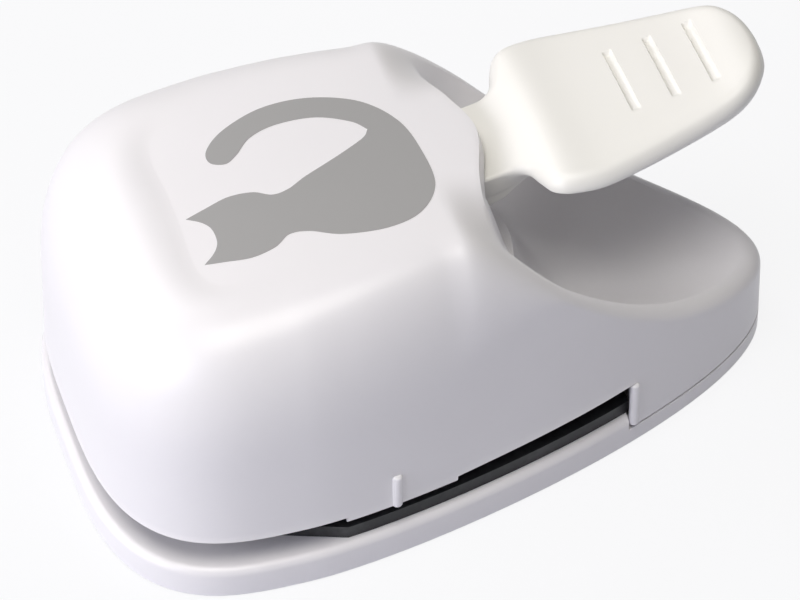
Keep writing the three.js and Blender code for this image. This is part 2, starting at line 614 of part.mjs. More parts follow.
// Steel bracket on the guide plate: a foot, two ears and the lever's pin
function makePivot() {
  const inner = lever.neckHalfWidth + bracket.gap;
  const outer = inner + bracket.sheet;
  const bottom = guideTop + seatGap;
  const [y0, y1] = [pivot.y - bracket.halfLength, pivot.y + bracket.halfLength];
  let body = block(-outer, outer, y0, y1, bottom, bottom + bracket.sheet);
  for (const side of [-1, 1]) {
    const [x0, x1] = side < 0 ? [-outer, -inner] : [inner, outer];
    body = body.add(block(x0, x1, y0, y1, bottom, pivot.z));
    body = body.add(crossRod(pivot.y, pivot.z, bracket.crown, x0, x1));
  }
  body = body.subtract(crossRod(pivot.y, pivot.z, pivot.pinRadius + boreGap, -outer - overrun,
    outer + overrun));
  for (const side of [-1, 1]) {
    body = body.subtract(rod(side * rivet.x, pivot.y, rivet.shank + boreGap, bottom - overrun,
      bottom + overrun * 2));
  }
  addPiece('pivot_bracket', body, steel);

  const pinEnd = outer + pin.stickOut;
  const headInner = outer + seatGap;
  let pivotPin = crossRod(pivot.y, pivot.z, pivot.pinRadius, -pinEnd, headInner);
  pivotPin = pivotPin.add(crossRod(pivot.y, pivot.z, pin.headRadius, headInner,
    headInner + pin.headThickness));
  addPiece('pivot_pin', pivotPin, steel);

  const ring = crossRod(pivot.y, pivot.z, clip.radius, -outer - seatGap - clip.thickness,
    -outer - seatGap);
  const hole = crossRod(pivot.y, pivot.z, pivot.pinRadius + boreGap, -pinEnd - overrun, 0);
  addPiece('pin_clip', ring.subtract(hole), steel);

  for (const [name, side] of [['left', -1], ['right', 1]]) {
    const top = bottom + bracket.sheet + seatGap;
    const low = guide.bottom;
    const profile = [[0, low], [rivet.shank, low], [rivet.shank, top], [rivet.head, top],
      [rivet.head, top + rivet.headThickness],
      [0, top + rivet.headThickness]];
    addPiece(`bracket_rivet_${name}`, turned(profile, side * rivet.x, pivot.y), steel);
  }
}

// Two flat plates with the cat cut through them
function plateShape(inset) {
  const slim = inset - die.inset;
  const right = [[plan.halfWidth - plates.frontIn, plates.frontY],
    [plan.halfWidth - plates.cornerIn - slim, plates.cornerY]];
  for (let i = 0; i <= sideSteps * 2; i++) {
    const y = plates.sideY + (plates.rearY - plates.sideY) * i / (sideSteps * 2);
    right.push([halfWidthAt(y) - inset, y]);
  }
  const left = right.slice().reverse().map(([x, y]) => [-x, y]);
  return polygon([...right, ...left]);
}

function makePlates() {
  const catHole = polygon(catOutline(slideGap));
  for (const [name, plate] of [['die_plate', die], ['guide_plate', guide]]) {
    const top = plate.bottom + plate.thickness;
    let body = raised(plateShape(plate.inset), plate.bottom, top);
    body = body.subtract(raised(catHole, plate.bottom - overrun, top + overrun));
    for (const [x, y] of bothSides([[stackScrew.x, stackScrew.y]])) {
      body = body.subtract(rod(x, y, stackScrew.shank + boreGap, plate.bottom - overrun, top + overrun));
    }
    if (plate === guide) {
      for (const [x, y] of bothSides(coverScrewPlaces)) {
        body = body.subtract(rod(x, y, coverScrew.shank + boreGap, guide.bottom - overrun,
          top + overrun));
        const deep = guide.bottom + coverScrew.headThickness + seatGap;
        body = body.subtract(rod(x, y, coverScrew.head + boreGap, guide.bottom - overrun, deep));
      }
      for (const [x, y] of bothSides([[rivet.x, pivot.y]])) {
        body = body.subtract(rod(x, y, rivet.shank + boreGap, guide.bottom - overrun, top + overrun));
      }
    }
    addPiece(name, body, black);
  }
  const low = die.bottom + die.thickness + seatGap;
  const half = plates.rearHalfWidth;
  let stop = block(-half, half, plates.rearY - paper.stopLength, plates.rearY, low,
    guide.bottom - seatGap);
  for (const [x, y] of bothSides([[stackScrew.x, stackScrew.y]])) {
    stop = stop.subtract(rod(x, y, stackScrew.shank + boreGap, low - overrun, low + overrun));
  }
  addPiece('paper_stop', stop, black);
}

// Cat cutter, with a shear hollow in its cutting face, under the carrier that the lever presses
function makePunch() {
  const bottom = guide.bottom + cutter.lift;
  const top = carrier.bottom - seatGap;
  let body = raised(polygon(catOutline(0)), bottom, top);
  const [y0, y1] = [cat.y - cat.length / 2, cat.y + cat.length / 2];
  const shear = polygon([[y0, bottom - overrun], [y1, bottom - overrun], [y1, bottom],
    [cat.y, bottom + cutter.shear], [y0, bottom]]);
  body = body.subtract(spread(shear, -plan.halfWidth, plan.halfWidth));
  for (const [x, y] of cutterScrewPlaces) {
    body = body.subtract(rod(x, y, cutterScrew.shank + boreGap, top - cutterScrew.depth - seatGap,
      top + overrun));
  }
  addPiece('punch_cutter', body, steel);

  const plateTop = carrier.bottom + carrier.thickness;
  const { halfWidth, frontY, rearY, earHalfWidth, earHalfLength, corner } = carrier;
  let plate = raised(roundedBox(halfWidth, frontY, rearY, corner), carrier.bottom, plateTop);
  plate = plate.add(raised(roundedBox(earHalfWidth, cat.y - earHalfLength, cat.y + earHalfLength, corner),
    carrier.bottom, plateTop));
  const { padHalfWidth, padHalfLength, padHeight } = carrier;
  plate = plate.add(block(-padHalfWidth, padHalfWidth, cat.y - padHalfLength, cat.y + padHalfLength,
    plateTop - padHeight, carrier.top));
  for (const [x, y] of bothSides([[post.x, cat.y]])) {
    plate = plate.subtract(rod(x, y, post.radius + runGap, carrier.bottom - overrun,
      carrier.top + overrun));
  }
  for (const [x, y] of cutterScrewPlaces) {
    plate = plate.subtract(rod(x, y, cutterScrew.shank + boreGap, carrier.bottom - overrun,
      carrier.top + overrun));
    const deep = plateTop - cutterScrew.headThickness - seatGap;
    plate = plate.subtract(rod(x, y, cutterScrew.head + boreGap, deep, carrier.top + overrun));
  }
  addPiece('punch_carrier', plate, darkPlastic);

  cutterScrewPlaces.forEach(([x, y], i) => {
    const head = plateTop - cutterScrew.headThickness;
    const profile = [[0, top - cutterScrew.depth], [cutterScrew.shank, top - cutterScrew.depth],
      [cutterScrew.shank, head],
      [cutterScrew.head, head], [cutterScrew.head, plateTop], [0, plateTop]];
    addPiece(`cutter_screw_${i + 1}`, turned(profile, x, y), steel);
  });
}

// Return springs, each one unbroken wire wound round its guide post
function springPath(x, z0, z1) {
  const lead = spring.wire;
  const points = [new THREE.Vector3(x + spring.radius, cat.y, z0)];
  const steps = spring.turnCount * spring.stepsPerTurn;
  for (let i = 0; i <= steps; i++) {
    const turn = Math.PI * 2 * i / spring.stepsPerTurn;
    const z = z0 + lead + (z1 - z0 - lead * 2) * i / steps;
    points.push(new THREE.Vector3(x + spring.radius * Math.cos(turn),
      cat.y + spring.radius * Math.sin(turn), z));
  }
  points.push(new THREE.Vector3(x + spring.radius, cat.y, z1));
  return points;
}

function leastGap(points) {
  let least = Infinity;
  for (let i = 0; i < points.length; i++) {
    for (let j = i + spring.stepsPerTurn / 2; j < points.length; j++) {
      least = Math.min(least, points[i].distanceTo(points[j]));
    }
  }
  return least - spring.wire;
}

function wire(points) {
  const positions = [];
  const up = new THREE.Vector3(0, 0, 1);
  const axis = new THREE.Vector3((points[0].x + points[spring.stepsPerTurn / 2 + 1].x) / 2, cat.y, 0);
  points.forEach((point) => {
    const out = new THREE.Vector3(point.x - axis.x, point.y - axis.y, 0).normalize();
    const atEnd = point === points[0] || point === points[points.length - 1];
    const ahead = new THREE.Vector3().crossVectors(up, out);
    const second = atEnd ? ahead.clone().negate() : up;
    for (let s = 0; s < spring.sides; s++) {
      const turn = Math.PI * 2 * s / spring.sides;
      const offset = out.clone().multiplyScalar(Math.cos(turn) * spring.wire / 2);
      offset.addScaledVector(second, Math.sin(turn) * spring.wire / 2);
      positions.push(point.x + offset.x, point.y + offset.y, point.z + offset.z);
    }
  });
  const index = [];
  const last = points.length - 1;
  for (let i = 0; i < last; i++) {
    for (let s = 0; s < spring.sides; s++) {
      const next = (s + 1) % spring.sides;
      const [a, b] = [i * spring.sides + s, i * spring.sides + next];
      index.push(a, a + spring.sides, b, b, a + spring.sides, b + spring.sides);
    }
  }
  for (let s = 1; s < spring.sides - 1; s++) {
    index.push(0, s, s + 1);
    index.push(last * spring.sides, last * spring.sides + s + 1, last * spring.sides + s);
  }
  const geometry = new THREE.BufferGeometry();
  geometry.setAttribute('position', new THREE.Float32BufferAttribute(positions, 3));
  geometry.setIndex(index);
  return solid(geometry);
}

function makePostsAndSprings() {
  const bottom = guideTop + seatGap;
  for (const [name, side] of [['left', -1], ['right', 1]]) {
    const x = side * post.x;
    const footTop = bottom + post.footThickness;
    const profile = [[0, bottom], [post.footRadius, bottom], [post.footRadius, footTop],
      [post.radius, footTop],
      [post.radius, carrier.top + post.rise], [0, carrier.top + post.rise]];
    addPiece(`guide_post_${name}`, turned(profile, x, cat.y), steel);
    const path = springPath(x, footTop + seatGap, carrier.bottom - seatGap);
    console.log(`return_spring_${name}: least gap to itself ${leastGap(path).toFixed(2)} mm`);
    addPiece(`return_spring_${name}`, wire(path), steel);
  }
}

function screw(x, y, headBottom, headTop, tipZ, size) {
  const up = tipZ > headTop;
  const profile = up
    ? [[0, headBottom], [size.head, headBottom], [size.head, headTop], [size.shank, headTop],
      [size.shank, tipZ], [0, tipZ]]
    : [[0, tipZ], [size.shank, tipZ], [size.shank, headBottom], [size.head, headBottom],
      [size.head, headTop], [0, headTop]];
  return turned(profile, x, y);
}

function makeScrews() {
  bothSides(coverScrewPlaces).forEach(([x, y], i) => {
    const head = guide.bottom + coverScrew.headThickness;
    addPiece(`cover_screw_${i + 1}`, screw(x, y, guide.bottom, head, guide.bottom + coverScrew.length,
      coverScrew), steel);
  });
  for (const [name, side] of [['left', -1], ['right', 1]]) {
    const seat = base.floor + stackScrew.headThickness - seatGap;
    const body = screw(side * stackScrew.x, stackScrew.y, seat - stackScrew.headThickness, seat, guideTop,
      stackScrew);
    addPiece(`stack_screw_${name}`, body, steel);
  }
  const seat = base.tailHeight - base.floor - seatGap;
  const body = screw(0, tailScrew.y, seat - tailScrew.headThickness, seat,
    seat - tailScrew.headThickness + tailScrew.length, tailScrew);
  addPiece('tail_screw', body, steel);
}

makeBase();
makeCover();
makeLever();
makePivot();
makePlates();
makePunch();
makePostsAndSprings();
makeScrews();

export default model;
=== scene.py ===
import math

import bmesh
import bpy
import numpy as np
from mathutils import Matrix, Vector, geometry


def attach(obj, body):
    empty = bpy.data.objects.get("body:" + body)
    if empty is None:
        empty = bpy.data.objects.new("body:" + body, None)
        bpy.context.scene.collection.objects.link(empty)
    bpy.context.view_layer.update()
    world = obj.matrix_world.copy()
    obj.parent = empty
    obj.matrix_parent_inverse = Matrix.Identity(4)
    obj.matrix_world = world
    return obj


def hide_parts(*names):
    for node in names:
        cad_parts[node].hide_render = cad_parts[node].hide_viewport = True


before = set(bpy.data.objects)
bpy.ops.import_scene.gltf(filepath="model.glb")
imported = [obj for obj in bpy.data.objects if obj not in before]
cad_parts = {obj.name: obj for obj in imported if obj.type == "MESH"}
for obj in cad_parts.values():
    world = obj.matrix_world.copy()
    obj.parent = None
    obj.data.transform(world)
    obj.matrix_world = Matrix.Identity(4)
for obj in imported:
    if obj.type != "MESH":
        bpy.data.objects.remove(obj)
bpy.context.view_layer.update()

mm = 0.001
print("frame loaded")

# Sizes in millimetres. They follow the solids of the part.
plan = dict(length=101.7, halfWidth=32.3, widestY=-25.2, frontPower=3.1, sideShare=0.23, tailShare=0.53)
frontY, rearY = -plan["length"] / 2, plan["length"] / 2
tailMiddleY = rearY - plan["halfWidth"] * plan["tailShare"]
cover = dict(inset=0.6, wall=2.3, draft=0.015, topHeight=44.9, tilt=0.105, crown=2.0, crownReach=32.3, levelY=-16.0,
             frontShoulder=15.7, rearShoulder=9.6, shoulderUp=19.8, fullness=0.82, rimRound=1.6, tailRound=2.2,
             bottom=3.1)
hollow = dict(frontY=8.4, bow=3.1, bowReach=7.5, foldLength=9.8, floorHeight=16.5, floorFall=6.0, wallReach=5.0,
              wallPower=1.4, sidePower=2.3, fadeY=13.6)
rim = dict(frontY=-0.5, softStart=3.0, endHeight=7.1, reach=27.6, power=1.21, turnY=-4.0, turnLength=19.0,
           blendFrom=0.35, blendLength=0.6, blendPower=0.3, roundY=2.5)
slot = dict(frontEdge=9.65, tabEdge=8.9, rearEdge=9.6, endEdge=11.3, tabFrontY=-19.45, tabRearY=-2.85, rearY=25.4,
            stepY=24.6, stepHalf=0.03, stepRoom=0.35, finePast=3.0)


def ease(share):
    t = min(1.0, max(0.0, share))
    return t * t * (3 - 2 * t)


def frontPoint(turn):
    power = 2 / plan["frontPower"]
    return (plan["halfWidth"] * math.sin(turn) ** power,
            plan["widestY"] + (frontY - plan["widestY"]) * math.cos(turn) ** power)


def sidePoint(t):
    depth = rearY - plan["widestY"]
    ends = ((plan["halfWidth"], plan["widestY"]), (plan["halfWidth"], plan["widestY"] + depth * plan["sideShare"]),
            (plan["halfWidth"] * plan["tailShare"], rearY), (0.0, rearY))
    weights = ((1 - t) ** 3, 3 * t * (1 - t) ** 2, 3 * t * t * (1 - t), t ** 3)
    return tuple(sum(w * e[k] for w, e in zip(weights, ends)) for k in (0, 1))


def sideAt(y):
    low, high = 0.0, 1.0
    for _ in range(40):
        middle = (low + high) / 2
        if sidePoint(middle)[1] < y:
            low = middle
        else:
            high = middle
    return low


def halfWidthAt(y):
    if y > plan["widestY"]:
        return sidePoint(sideAt(y))[0]
    share = min(1.0, (y - plan["widestY"]) / (frontY - plan["widestY"]))
    return plan["halfWidth"] * (1 - share ** plan["frontPower"]) ** (1 / plan["frontPower"])


# Points round half of the body, from its front to the end of its tail, each with its outward direction
def makeStations(frontCount, sideStep, wallStep, tailCount):
    points = [frontPoint(math.pi / 2 * i / frontCount) for i in range(frontCount)]
    wallStart, wallEnd = hollow["frontY"] - hollow["foldLength"], hollow["frontY"] + hollow["wallReach"]
    heights = list(np.arange(plan["widestY"], wallStart, sideStep)) + list(np.arange(wallStart, wallEnd, wallStep))
    heights += list(np.arange(wallEnd, slot["rearY"] + slot["finePast"], sideStep))
    for edge in (slot["tabFrontY"], slot["tabRearY"], slot["rearY"]):   # a crisp step in the lower edge
        heights = [y for y in heights if abs(y - edge) > slot["stepRoom"]]
        heights += [edge - slot["stepHalf"], edge + slot["stepHalf"]]
    points += [sidePoint(sideAt(y)) for y in sorted(heights)]
    start = sideAt(slot["rearY"] + slot["finePast"])
    points += [sidePoint(start + (1 - start) * i / tailCount) for i in range(tailCount + 1)]
    stations = []
    for i, (x, y) in enumerate(points):
        before, after = points[max(0, i - 1)], points[min(len(points) - 1, i + 1)]
        if i in (0, len(points) - 1):
            stations.append((0.0, y, 0.0, -1.0 if i == 0 else 1.0))
            continue
        back, ahead = math.hypot(x - before[0], y - before[1]), math.hypot(after[0] - x, after[1] - y)
        wayX = (x - before[0]) * ahead / back + (after[0] - x) * back / ahead
        wayY = (y - before[1]) * ahead / back + (after[1] - y) * back / ahead
        along = math.hypot(wayX, wayY)
        stations.append((x, y, wayY / along, -wayX / along))
    return stations


def middlePoint(station):
    return 0.0, min(max(station[1], frontY + plan["halfWidth"]), tailMiddleY)


def insetPoint(station, inset):
    mx, my = middlePoint(station)
    distance = math.hypot(station[0] - mx, station[1] - my)
    inX, inY = (mx - station[0]) / distance, (my - station[1]) / distance
    reach = -inset / (station[2] * inX + station[3] * inY)
    return station[0] + inX * reach, station[1] + inY * reach


def headHeight(y):
    back = min(y, hollow["frontY"]) - cover["levelY"]
    return cover["topHeight"] + cover["tilt"] * back - cover["crown"] * (back / cover["crownReach"]) ** 2


# The head's rear edge bulges on the middle line and straightens towards the sides
def bowOf(x):
    return hollow["bow"] * (1 - math.exp(-((x / hollow["bowReach"]) ** 2)))


# How much of the head's height is left behind its rear edge, from 1 down to 0
def hollowFall(x, y):
    back = max(0.0, y + bowOf(x) - hollow["frontY"])
    return math.exp(-((back / hollow["wallReach"]) ** hollow["wallPower"]))


def hollowFloor(y):
    return hollow["floorHeight"] - hollow["floorFall"] * max(0.0, y - hollow["frontY"]) / (rearY - hollow["frontY"])


def rimHeight(y):
    back = max(0.0, y - rim["frontY"])
    back *= back / (back + rim["softStart"])
    return rim["endHeight"] + (headHeight(y) - rim["endHeight"]) * math.exp(-((back / rim["reach"]) ** rim["power"]))


# Radius of the shoulder at one place along the cover, across or upwards
def edgeRound(y, across):
    along = ease((y - frontY) / (rim["roundY"] - frontY))
    head = cover["shoulderUp"]
    if across:
        head = cover["frontShoulder"] + (cover["rearShoulder"] - cover["frontShoulder"]) * along
    toRim = ease((y - rim["turnY"]) / rim["turnLength"])
    toTail = ease((y - slot["rearY"]) / (rearY - slot["rearY"]))
    return head + (cover["rimRound"] - head) * toRim + (cover["tailRound"] - cover["rimRound"]) * toTail


def lowerEdge(y):
    if y < slot["tabFrontY"]:
        return slot["frontEdge"]
    if y < slot["tabRearY"]:
        return slot["tabEdge"]
    if y >= slot["rearY"]:
        return cover["bottom"]
    along = (y - slot["tabRearY"]) / (slot["rearY"] - slot["tabRearY"])
    return slot["rearEdge"] + (slot["endEdge"] - slot["rearEdge"]) * along


# How far the cover's foot stands in from the plan; it runs out towards the tail
def footInset(y):
    return cover["inset"] * (1 - ease((y - slot["tabRearY"]) / (slot["rearY"] - slot["tabRearY"])))


def quarterTurns(steps):
    return [math.pi / 2 * k / steps for k in range(steps + 1)]


# A linked object from a closed net in millimetres, with its faces turned outwards
def linkMesh(name, vertices, faces, merge=True):
    mesh = bpy.data.meshes.new(name)
    mesh.from_pydata([tuple(c * mm for c in v) for v in vertices], [], faces)
    work = bmesh.new()
    work.from_mesh(mesh)
    if merge:
        bmesh.ops.remove_doubles(work, verts=work.verts, dist=1e-7)
        bmesh.ops.dissolve_degenerate(work, dist=1e-8, edges=work.edges)
    bmesh.ops.recalc_face_normals(work, faces=work.faces)
    work.to_mesh(mesh)
    work.free()
    piece = bpy.data.objects.new(name, mesh)
    bpy.context.scene.collection.objects.link(piece)
    return piece


# Smooth faces, with every edge kept sharp that turns by more than the angle in degrees
def smoothFaces(piece, sharpAngle):
    piece.data.polygons.foreach_set("use_smooth", [True] * len(piece.data.polygons))
    piece.data.set_sharp_from_angle(angle=math.radians(sharpAngle))


def giveMaterial(piece, material):
    piece.data.materials.clear()
    piece.data.materials.append(material)


def makeObject(name, vertices, faces, body, material, slotName, sharpAngle=38, replaced=()):
    piece = linkMesh(name, vertices, faces)
    smoothFaces(piece, sharpAngle)
    giveMaterial(piece, material)
    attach(piece, body)
    if replaced:
        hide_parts(*replaced)
    return piece


# Quads between rows of points that each run round once; closed joins the last row to the first
def netFaces(rows, around, closed=False):
    faces = []
    for r in range(rows if closed else rows - 1):
        low, high = r * around, (r + 1) % rows * around
        faces += [(low + k, low + (k + 1) % around, high + (k + 1) % around, high + k) for k in range(around)]
    return faces


def capFaces(rows, around):
    return [tuple(range(around - 1, -1, -1)), tuple(range((rows - 1) * around, rows * around))]


# A closed net from rings round the plan; the first and the last ring close on the middle line
def skinMesh(stations, rings):
    last = len(stations) - 1
    around = last * 2
    vertices = []
    for ring in rings:
        half = [ring(station) for station in stations]
        for i in range(around):
            x, y, z = half[around - i] if i > last else half[i]
            vertices.append((-x if i > last else x, y, z))
    return vertices, netFaces(len(rings), around)


# The rings of the cover's outer skin, or of its inner one when a wall thickness is given
def coverRings(wall, shoulderSteps, topSteps, wallSteps, lift):
    least = coverDetail["leastRound"] if wall else 0.0
    across = lambda s: max(least, edgeRound(s[1], True) - wall)
    up = lambda s: max(least, edgeRound(s[1], False) - wall)
    inset = lambda s, z: footInset(s[1]) + wall + cover["draft"] * (z - cover["bottom"])

    def surface(x, y, share):
        floor, fall = hollowFloor(y), hollowFall(x, y)
        kept = fall ** rim["blendPower"] * (1 - ease((share - rim["blendFrom"]) / rim["blendLength"]))
        crest = rimHeight(y) + (headHeight(y) - rimHeight(y)) * kept
        skin = floor + (crest - floor) * (fall + (1 - fall) * share ** hollow["sidePower"])
        if not wall:
            return skin
        under = floor + (crest - floor) * hollowFall(x, y + wall)
        return min(under, skin) - wall

    def edge(s):
        x, y = insetPoint(s, inset(s, cover["topHeight"]) + across(s))
        return x, y, surface(x, y, 1.0)

    def wallPoint(s, turn):
        z = edge(s)[2] - up(s) * (1 - math.sin(turn) ** cover["fullness"])
        slack = inset(s, cover["topHeight"]) - inset(s, z)
        roundIn = across(s) * (1 - max(0.0, math.cos(turn)) ** cover["fullness"])
        return (*insetPoint(s, inset(s, z) + roundIn + slack * math.sin(turn) ** 2), z)

    def lowPoint(s, share):
        z0 = lowerEdge(s[1]) + lift
        z = z0 + (max(z0, edge(s)[2] - up(s)) - z0) * share
        return (*insetPoint(s, inset(s, z)), z)

    def topPoint(s, share):
        ex, ey, _ = edge(s)
        mx, my = middlePoint(s)
        fade = ease((s[1] - cover["levelY"]) / hollow["foldLength"])
        fade *= 1 - ease((s[1] - hollow["fadeY"]) / (tailMiddleY - hollow["fadeY"]))
        x, y = mx + (ex - mx) * share, my + (ey - my) * share + (bowOf(ex) - bowOf(ex * share)) * fade
        return x, y, surface(x, y, share)

    rings = [lambda s, k=k: lowPoint(s, k / wallSteps) for k in range(wallSteps)]
    rings += [lambda s, turn=turn: wallPoint(s, turn) for turn in quarterTurns(shoulderSteps)]
    rings += [lambda s, k=k: topPoint(s, 1 - k / topSteps) for k in range(1, topSteps + 1)]
    return rings


# Tools cut out of a piece, which is then smoothed again; the angle is in degrees
def booleanCut(piece, cutters, sharpAngle=35):
    for cutter in cutters:
        change = piece.modifiers.new("cut", "BOOLEAN")
        change.operation, change.object, change.solver = "DIFFERENCE", cutter, "EXACT"
    bpy.context.view_layer.update()
    cutMesh = bpy.data.meshes.new_from_object(piece.evaluated_get(bpy.context.evaluated_depsgraph_get()))
    piece.modifiers.clear()
    piece.data = cutMesh
    for cutter in cutters:
        bpy.data.objects.remove(cutter)
    smoothFaces(piece, sharpAngle)


# A plain closed tool from an outline in millimetres; axis X spreads an outline drawn in Y and Z
def prism(outline, z0, z1, axis="Z"):
    n = len(outline)
    place = (lambda p, t: (p[0], p[1], t)) if axis == "Z" else (lambda p, t: (t, p[0], p[1]))
    vertices = [place(p, z0) for p in outline] + [place(p, z1) for p in outline]
    return linkMesh("tool", vertices, capFaces(2, n) + netFaces(2, n), merge=False)


def roundedRect(x0, x1, y0, y1, corner, steps=6):
    points = []
    for cx, cy, start in ((x1 - corner, y0 + corner, -90), (x1 - corner, y1 - corner, 0),
                          (x0 + corner, y1 - corner, 90), (x0 + corner, y0 + corner, 180)):
        for k in range(steps + 1):
            a = math.radians(start + 90 * k / steps)
            points.append((cx + corner * math.cos(a), cy + corner * math.sin(a)))
    return points


def circle(x, y, radius, sides=32):
    turns = [2 * math.pi * k / sides for k in range(sides)]
    return [(x + radius * math.cos(turn), y + radius * math.sin(turn)) for turn in turns]


# Catmull-Rom points through a few chosen ones
def smoothLine(points, steps):
    p = [np.array(q, float) for q in points]
    p = [2 * p[0] - p[1]] + p + [2 * p[-1] - p[-2]]
    line = []
    for i in range(1, len(p) - 2):
        for k in range(steps):
            t = k / steps
            bend = 2 * p[i - 1] - 5 * p[i] + 4 * p[i + 1] - p[i + 2]
            twist = 3 * p[i] - p[i - 1] - 3 * p[i + 1] + p[i + 2]
            line.append(0.5 * (2 * p[i] + (p[i + 1] - p[i - 1]) * t + bend * t ** 2 + twist * t ** 3))
    line.append(p[-2])
    return [tuple(q) for q in line]


def makeGroup(name, inputs, outputs):
    group = bpy.data.node_groups.new(name, "ShaderNodeTree")
    for label, kind, value in inputs:
        socket = group.interface.new_socket(name=label, in_out="INPUT", socket_type=kind)
        socket.default_value = value
    for label, kind in outputs:
        group.interface.new_socket(name=label, in_out="OUTPUT", socket_type=kind)
    return group, group.nodes.new("NodeGroupInput"), group.nodes.new("NodeGroupOutput")


def addNode(tree, kind, place=(0, 0), **values):
    node = tree.nodes.new(kind)
    node.location = place
    for key, value in values.items():
        if hasattr(node, key):
            setattr(node, key, value)
        else:
            node.inputs[key.replace("_", " ")].default_value = value
    return node


# Fine moulded texture: a height for the bump, and a mask of soft uneven gloss
def mouldGrainGroup():
    group, start, end = makeGroup("Mould grain", [("Grain size", "NodeSocketFloat", 2600.0),
                                                  ("Cloud size", "NodeSocketFloat", 60.0)],
                                  [("Height", "NodeSocketFloat"), ("Clouds", "NodeSocketFloat")])
    place = addNode(group, "ShaderNodeTexCoord", (-700, 0))
    grain = addNode(group, "ShaderNodeTexNoise", (-400, 150), Detail=3.0, Roughness=0.6)
    clouds = addNode(group, "ShaderNodeTexNoise", (-400, -150), Detail=4.0, Roughness=0.55)
    group.links.new(place.outputs["Object"], grain.inputs["Vector"])
    group.links.new(place.outputs["Object"], clouds.inputs["Vector"])
    group.links.new(start.outputs["Grain size"], grain.inputs["Scale"])
    group.links.new(start.outputs["Cloud size"], clouds.inputs["Scale"])
    group.links.new(grain.outputs["Fac"], end.inputs["Height"])
    group.links.new(clouds.outputs["Fac"], end.inputs["Clouds"])
    return group


# A mask of outer edges, broken up by noise
def edgeWearGroup():
    group, start, end = makeGroup("Edge wear", [("From", "NodeSocketFloat", 0.52), ("To", "NodeSocketFloat", 0.62),
                                                ("Break up", "NodeSocketFloat", 900.0)],
                                  [("Mask", "NodeSocketFloat")])
    shape = addNode(group, "ShaderNodeNewGeometry", (-700, 100))
    place = addNode(group, "ShaderNodeTexCoord", (-700, -150))
    noise = addNode(group, "ShaderNodeTexNoise", (-500, -150), Detail=4.0)
    reach = addNode(group, "ShaderNodeMapRange", (-300, 100))
    mask = addNode(group, "ShaderNodeMath", (-100, 0), operation="MULTIPLY")
    group.links.new(place.outputs["Object"], noise.inputs["Vector"])
    group.links.new(start.outputs["Break up"], noise.inputs["Scale"])
    group.links.new(shape.outputs["Pointiness"], reach.inputs["Value"])
    group.links.new(start.outputs["From"], reach.inputs["From Min"])
    group.links.new(start.outputs["To"], reach.inputs["From Max"])
    group.links.new(reach.outputs["Result"], mask.inputs[0])
    group.links.new(noise.outputs["Fac"], mask.inputs[1])
    group.links.new(mask.outputs["Value"], end.inputs["Mask"])
    return group


# wear: how far rubbed plastic edges change; edgeBrighter: their colour against the rest; reliefs are in metres
finish = dict(wear=0.045, edgeBrighter=1.08, plasticRelief=0.00004, metalRelief=0.00003, metalClouds=220.0)
mouldGrain = mouldGrainGroup()
edgeWear = edgeWearGroup()


def placeGroup(tree, group, place, **values):
    node = tree.nodes.new("ShaderNodeGroup")
    node.node_tree = group
    node.location = place
    for key, value in values.items():
        node.inputs[key.replace("_", " ")].default_value = value
    return node


def newMaterial(name):
    material = bpy.data.materials.new(name)
    material.use_nodes = True
    return material, material.node_tree, material.node_tree.nodes["Principled BSDF"]


def mixColours(tree, factor, first, second, place=(-300, 200)):
    mix = addNode(tree, "ShaderNodeMix", place, data_type="RGBA")
    mix.inputs[6].default_value = (*first, 1.0)
    mix.inputs[7].default_value = (*second, 1.0)
    tree.links.new(factor, mix.inputs[0])
    return mix.outputs[2]


def spreadValue(tree, value, low, high, place=(-300, -50)):
    reach = addNode(tree, "ShaderNodeMapRange", place)
    reach.inputs["To Min"].default_value = low
    reach.inputs["To Max"].default_value = high
    tree.links.new(value, reach.inputs["Value"])
    return reach.outputs["Result"]


def addRelief(tree, grain, shader, bump, distance):
    relief = addNode(tree, "ShaderNodeBump", (-300, -300), Strength=bump, Distance=distance)
    tree.links.new(grain.outputs["Height"], relief.inputs["Height"])
    tree.links.new(relief.outputs["Normal"], shader.inputs["Normal"])


# Plastic with soft clouds in colour and gloss, a fine grain, and edges that are a little paler and glossier
def mouldedPlastic(name, colour, shade, roughness, bump):
    material, tree, shader = newMaterial(name)
    grain = placeGroup(tree, mouldGrain, (-900, 0))
    worn = placeGroup(tree, edgeWear, (-900, 300))
    polished = addNode(tree, "ShaderNodeMath", (-500, 300), operation="MULTIPLY")   # edges that hands have rubbed
    polished.inputs[1].default_value = finish["wear"]
    tree.links.new(worn.outputs["Mask"], polished.inputs[0])
    body = addNode(tree, "ShaderNodeMix", (-150, 300), data_type="RGBA")
    body.inputs[7].default_value = (*(min(1.0, c * finish["edgeBrighter"]) for c in colour), 1.0)
    tree.links.new(polished.outputs["Value"], body.inputs[0])
    tree.links.new(mixColours(tree, grain.outputs["Clouds"], shade, colour), body.inputs[6])
    tree.links.new(body.outputs[2], shader.inputs["Base Color"])
    gloss = addNode(tree, "ShaderNodeMath", (-150, -50), operation="SUBTRACT")
    tree.links.new(spreadValue(tree, grain.outputs["Clouds"], *roughness), gloss.inputs[0])
    tree.links.new(polished.outputs["Value"], gloss.inputs[1])
    tree.links.new(gloss.outputs["Value"], shader.inputs["Roughness"])
    addRelief(tree, grain, shader, bump, finish["plasticRelief"])
    return material


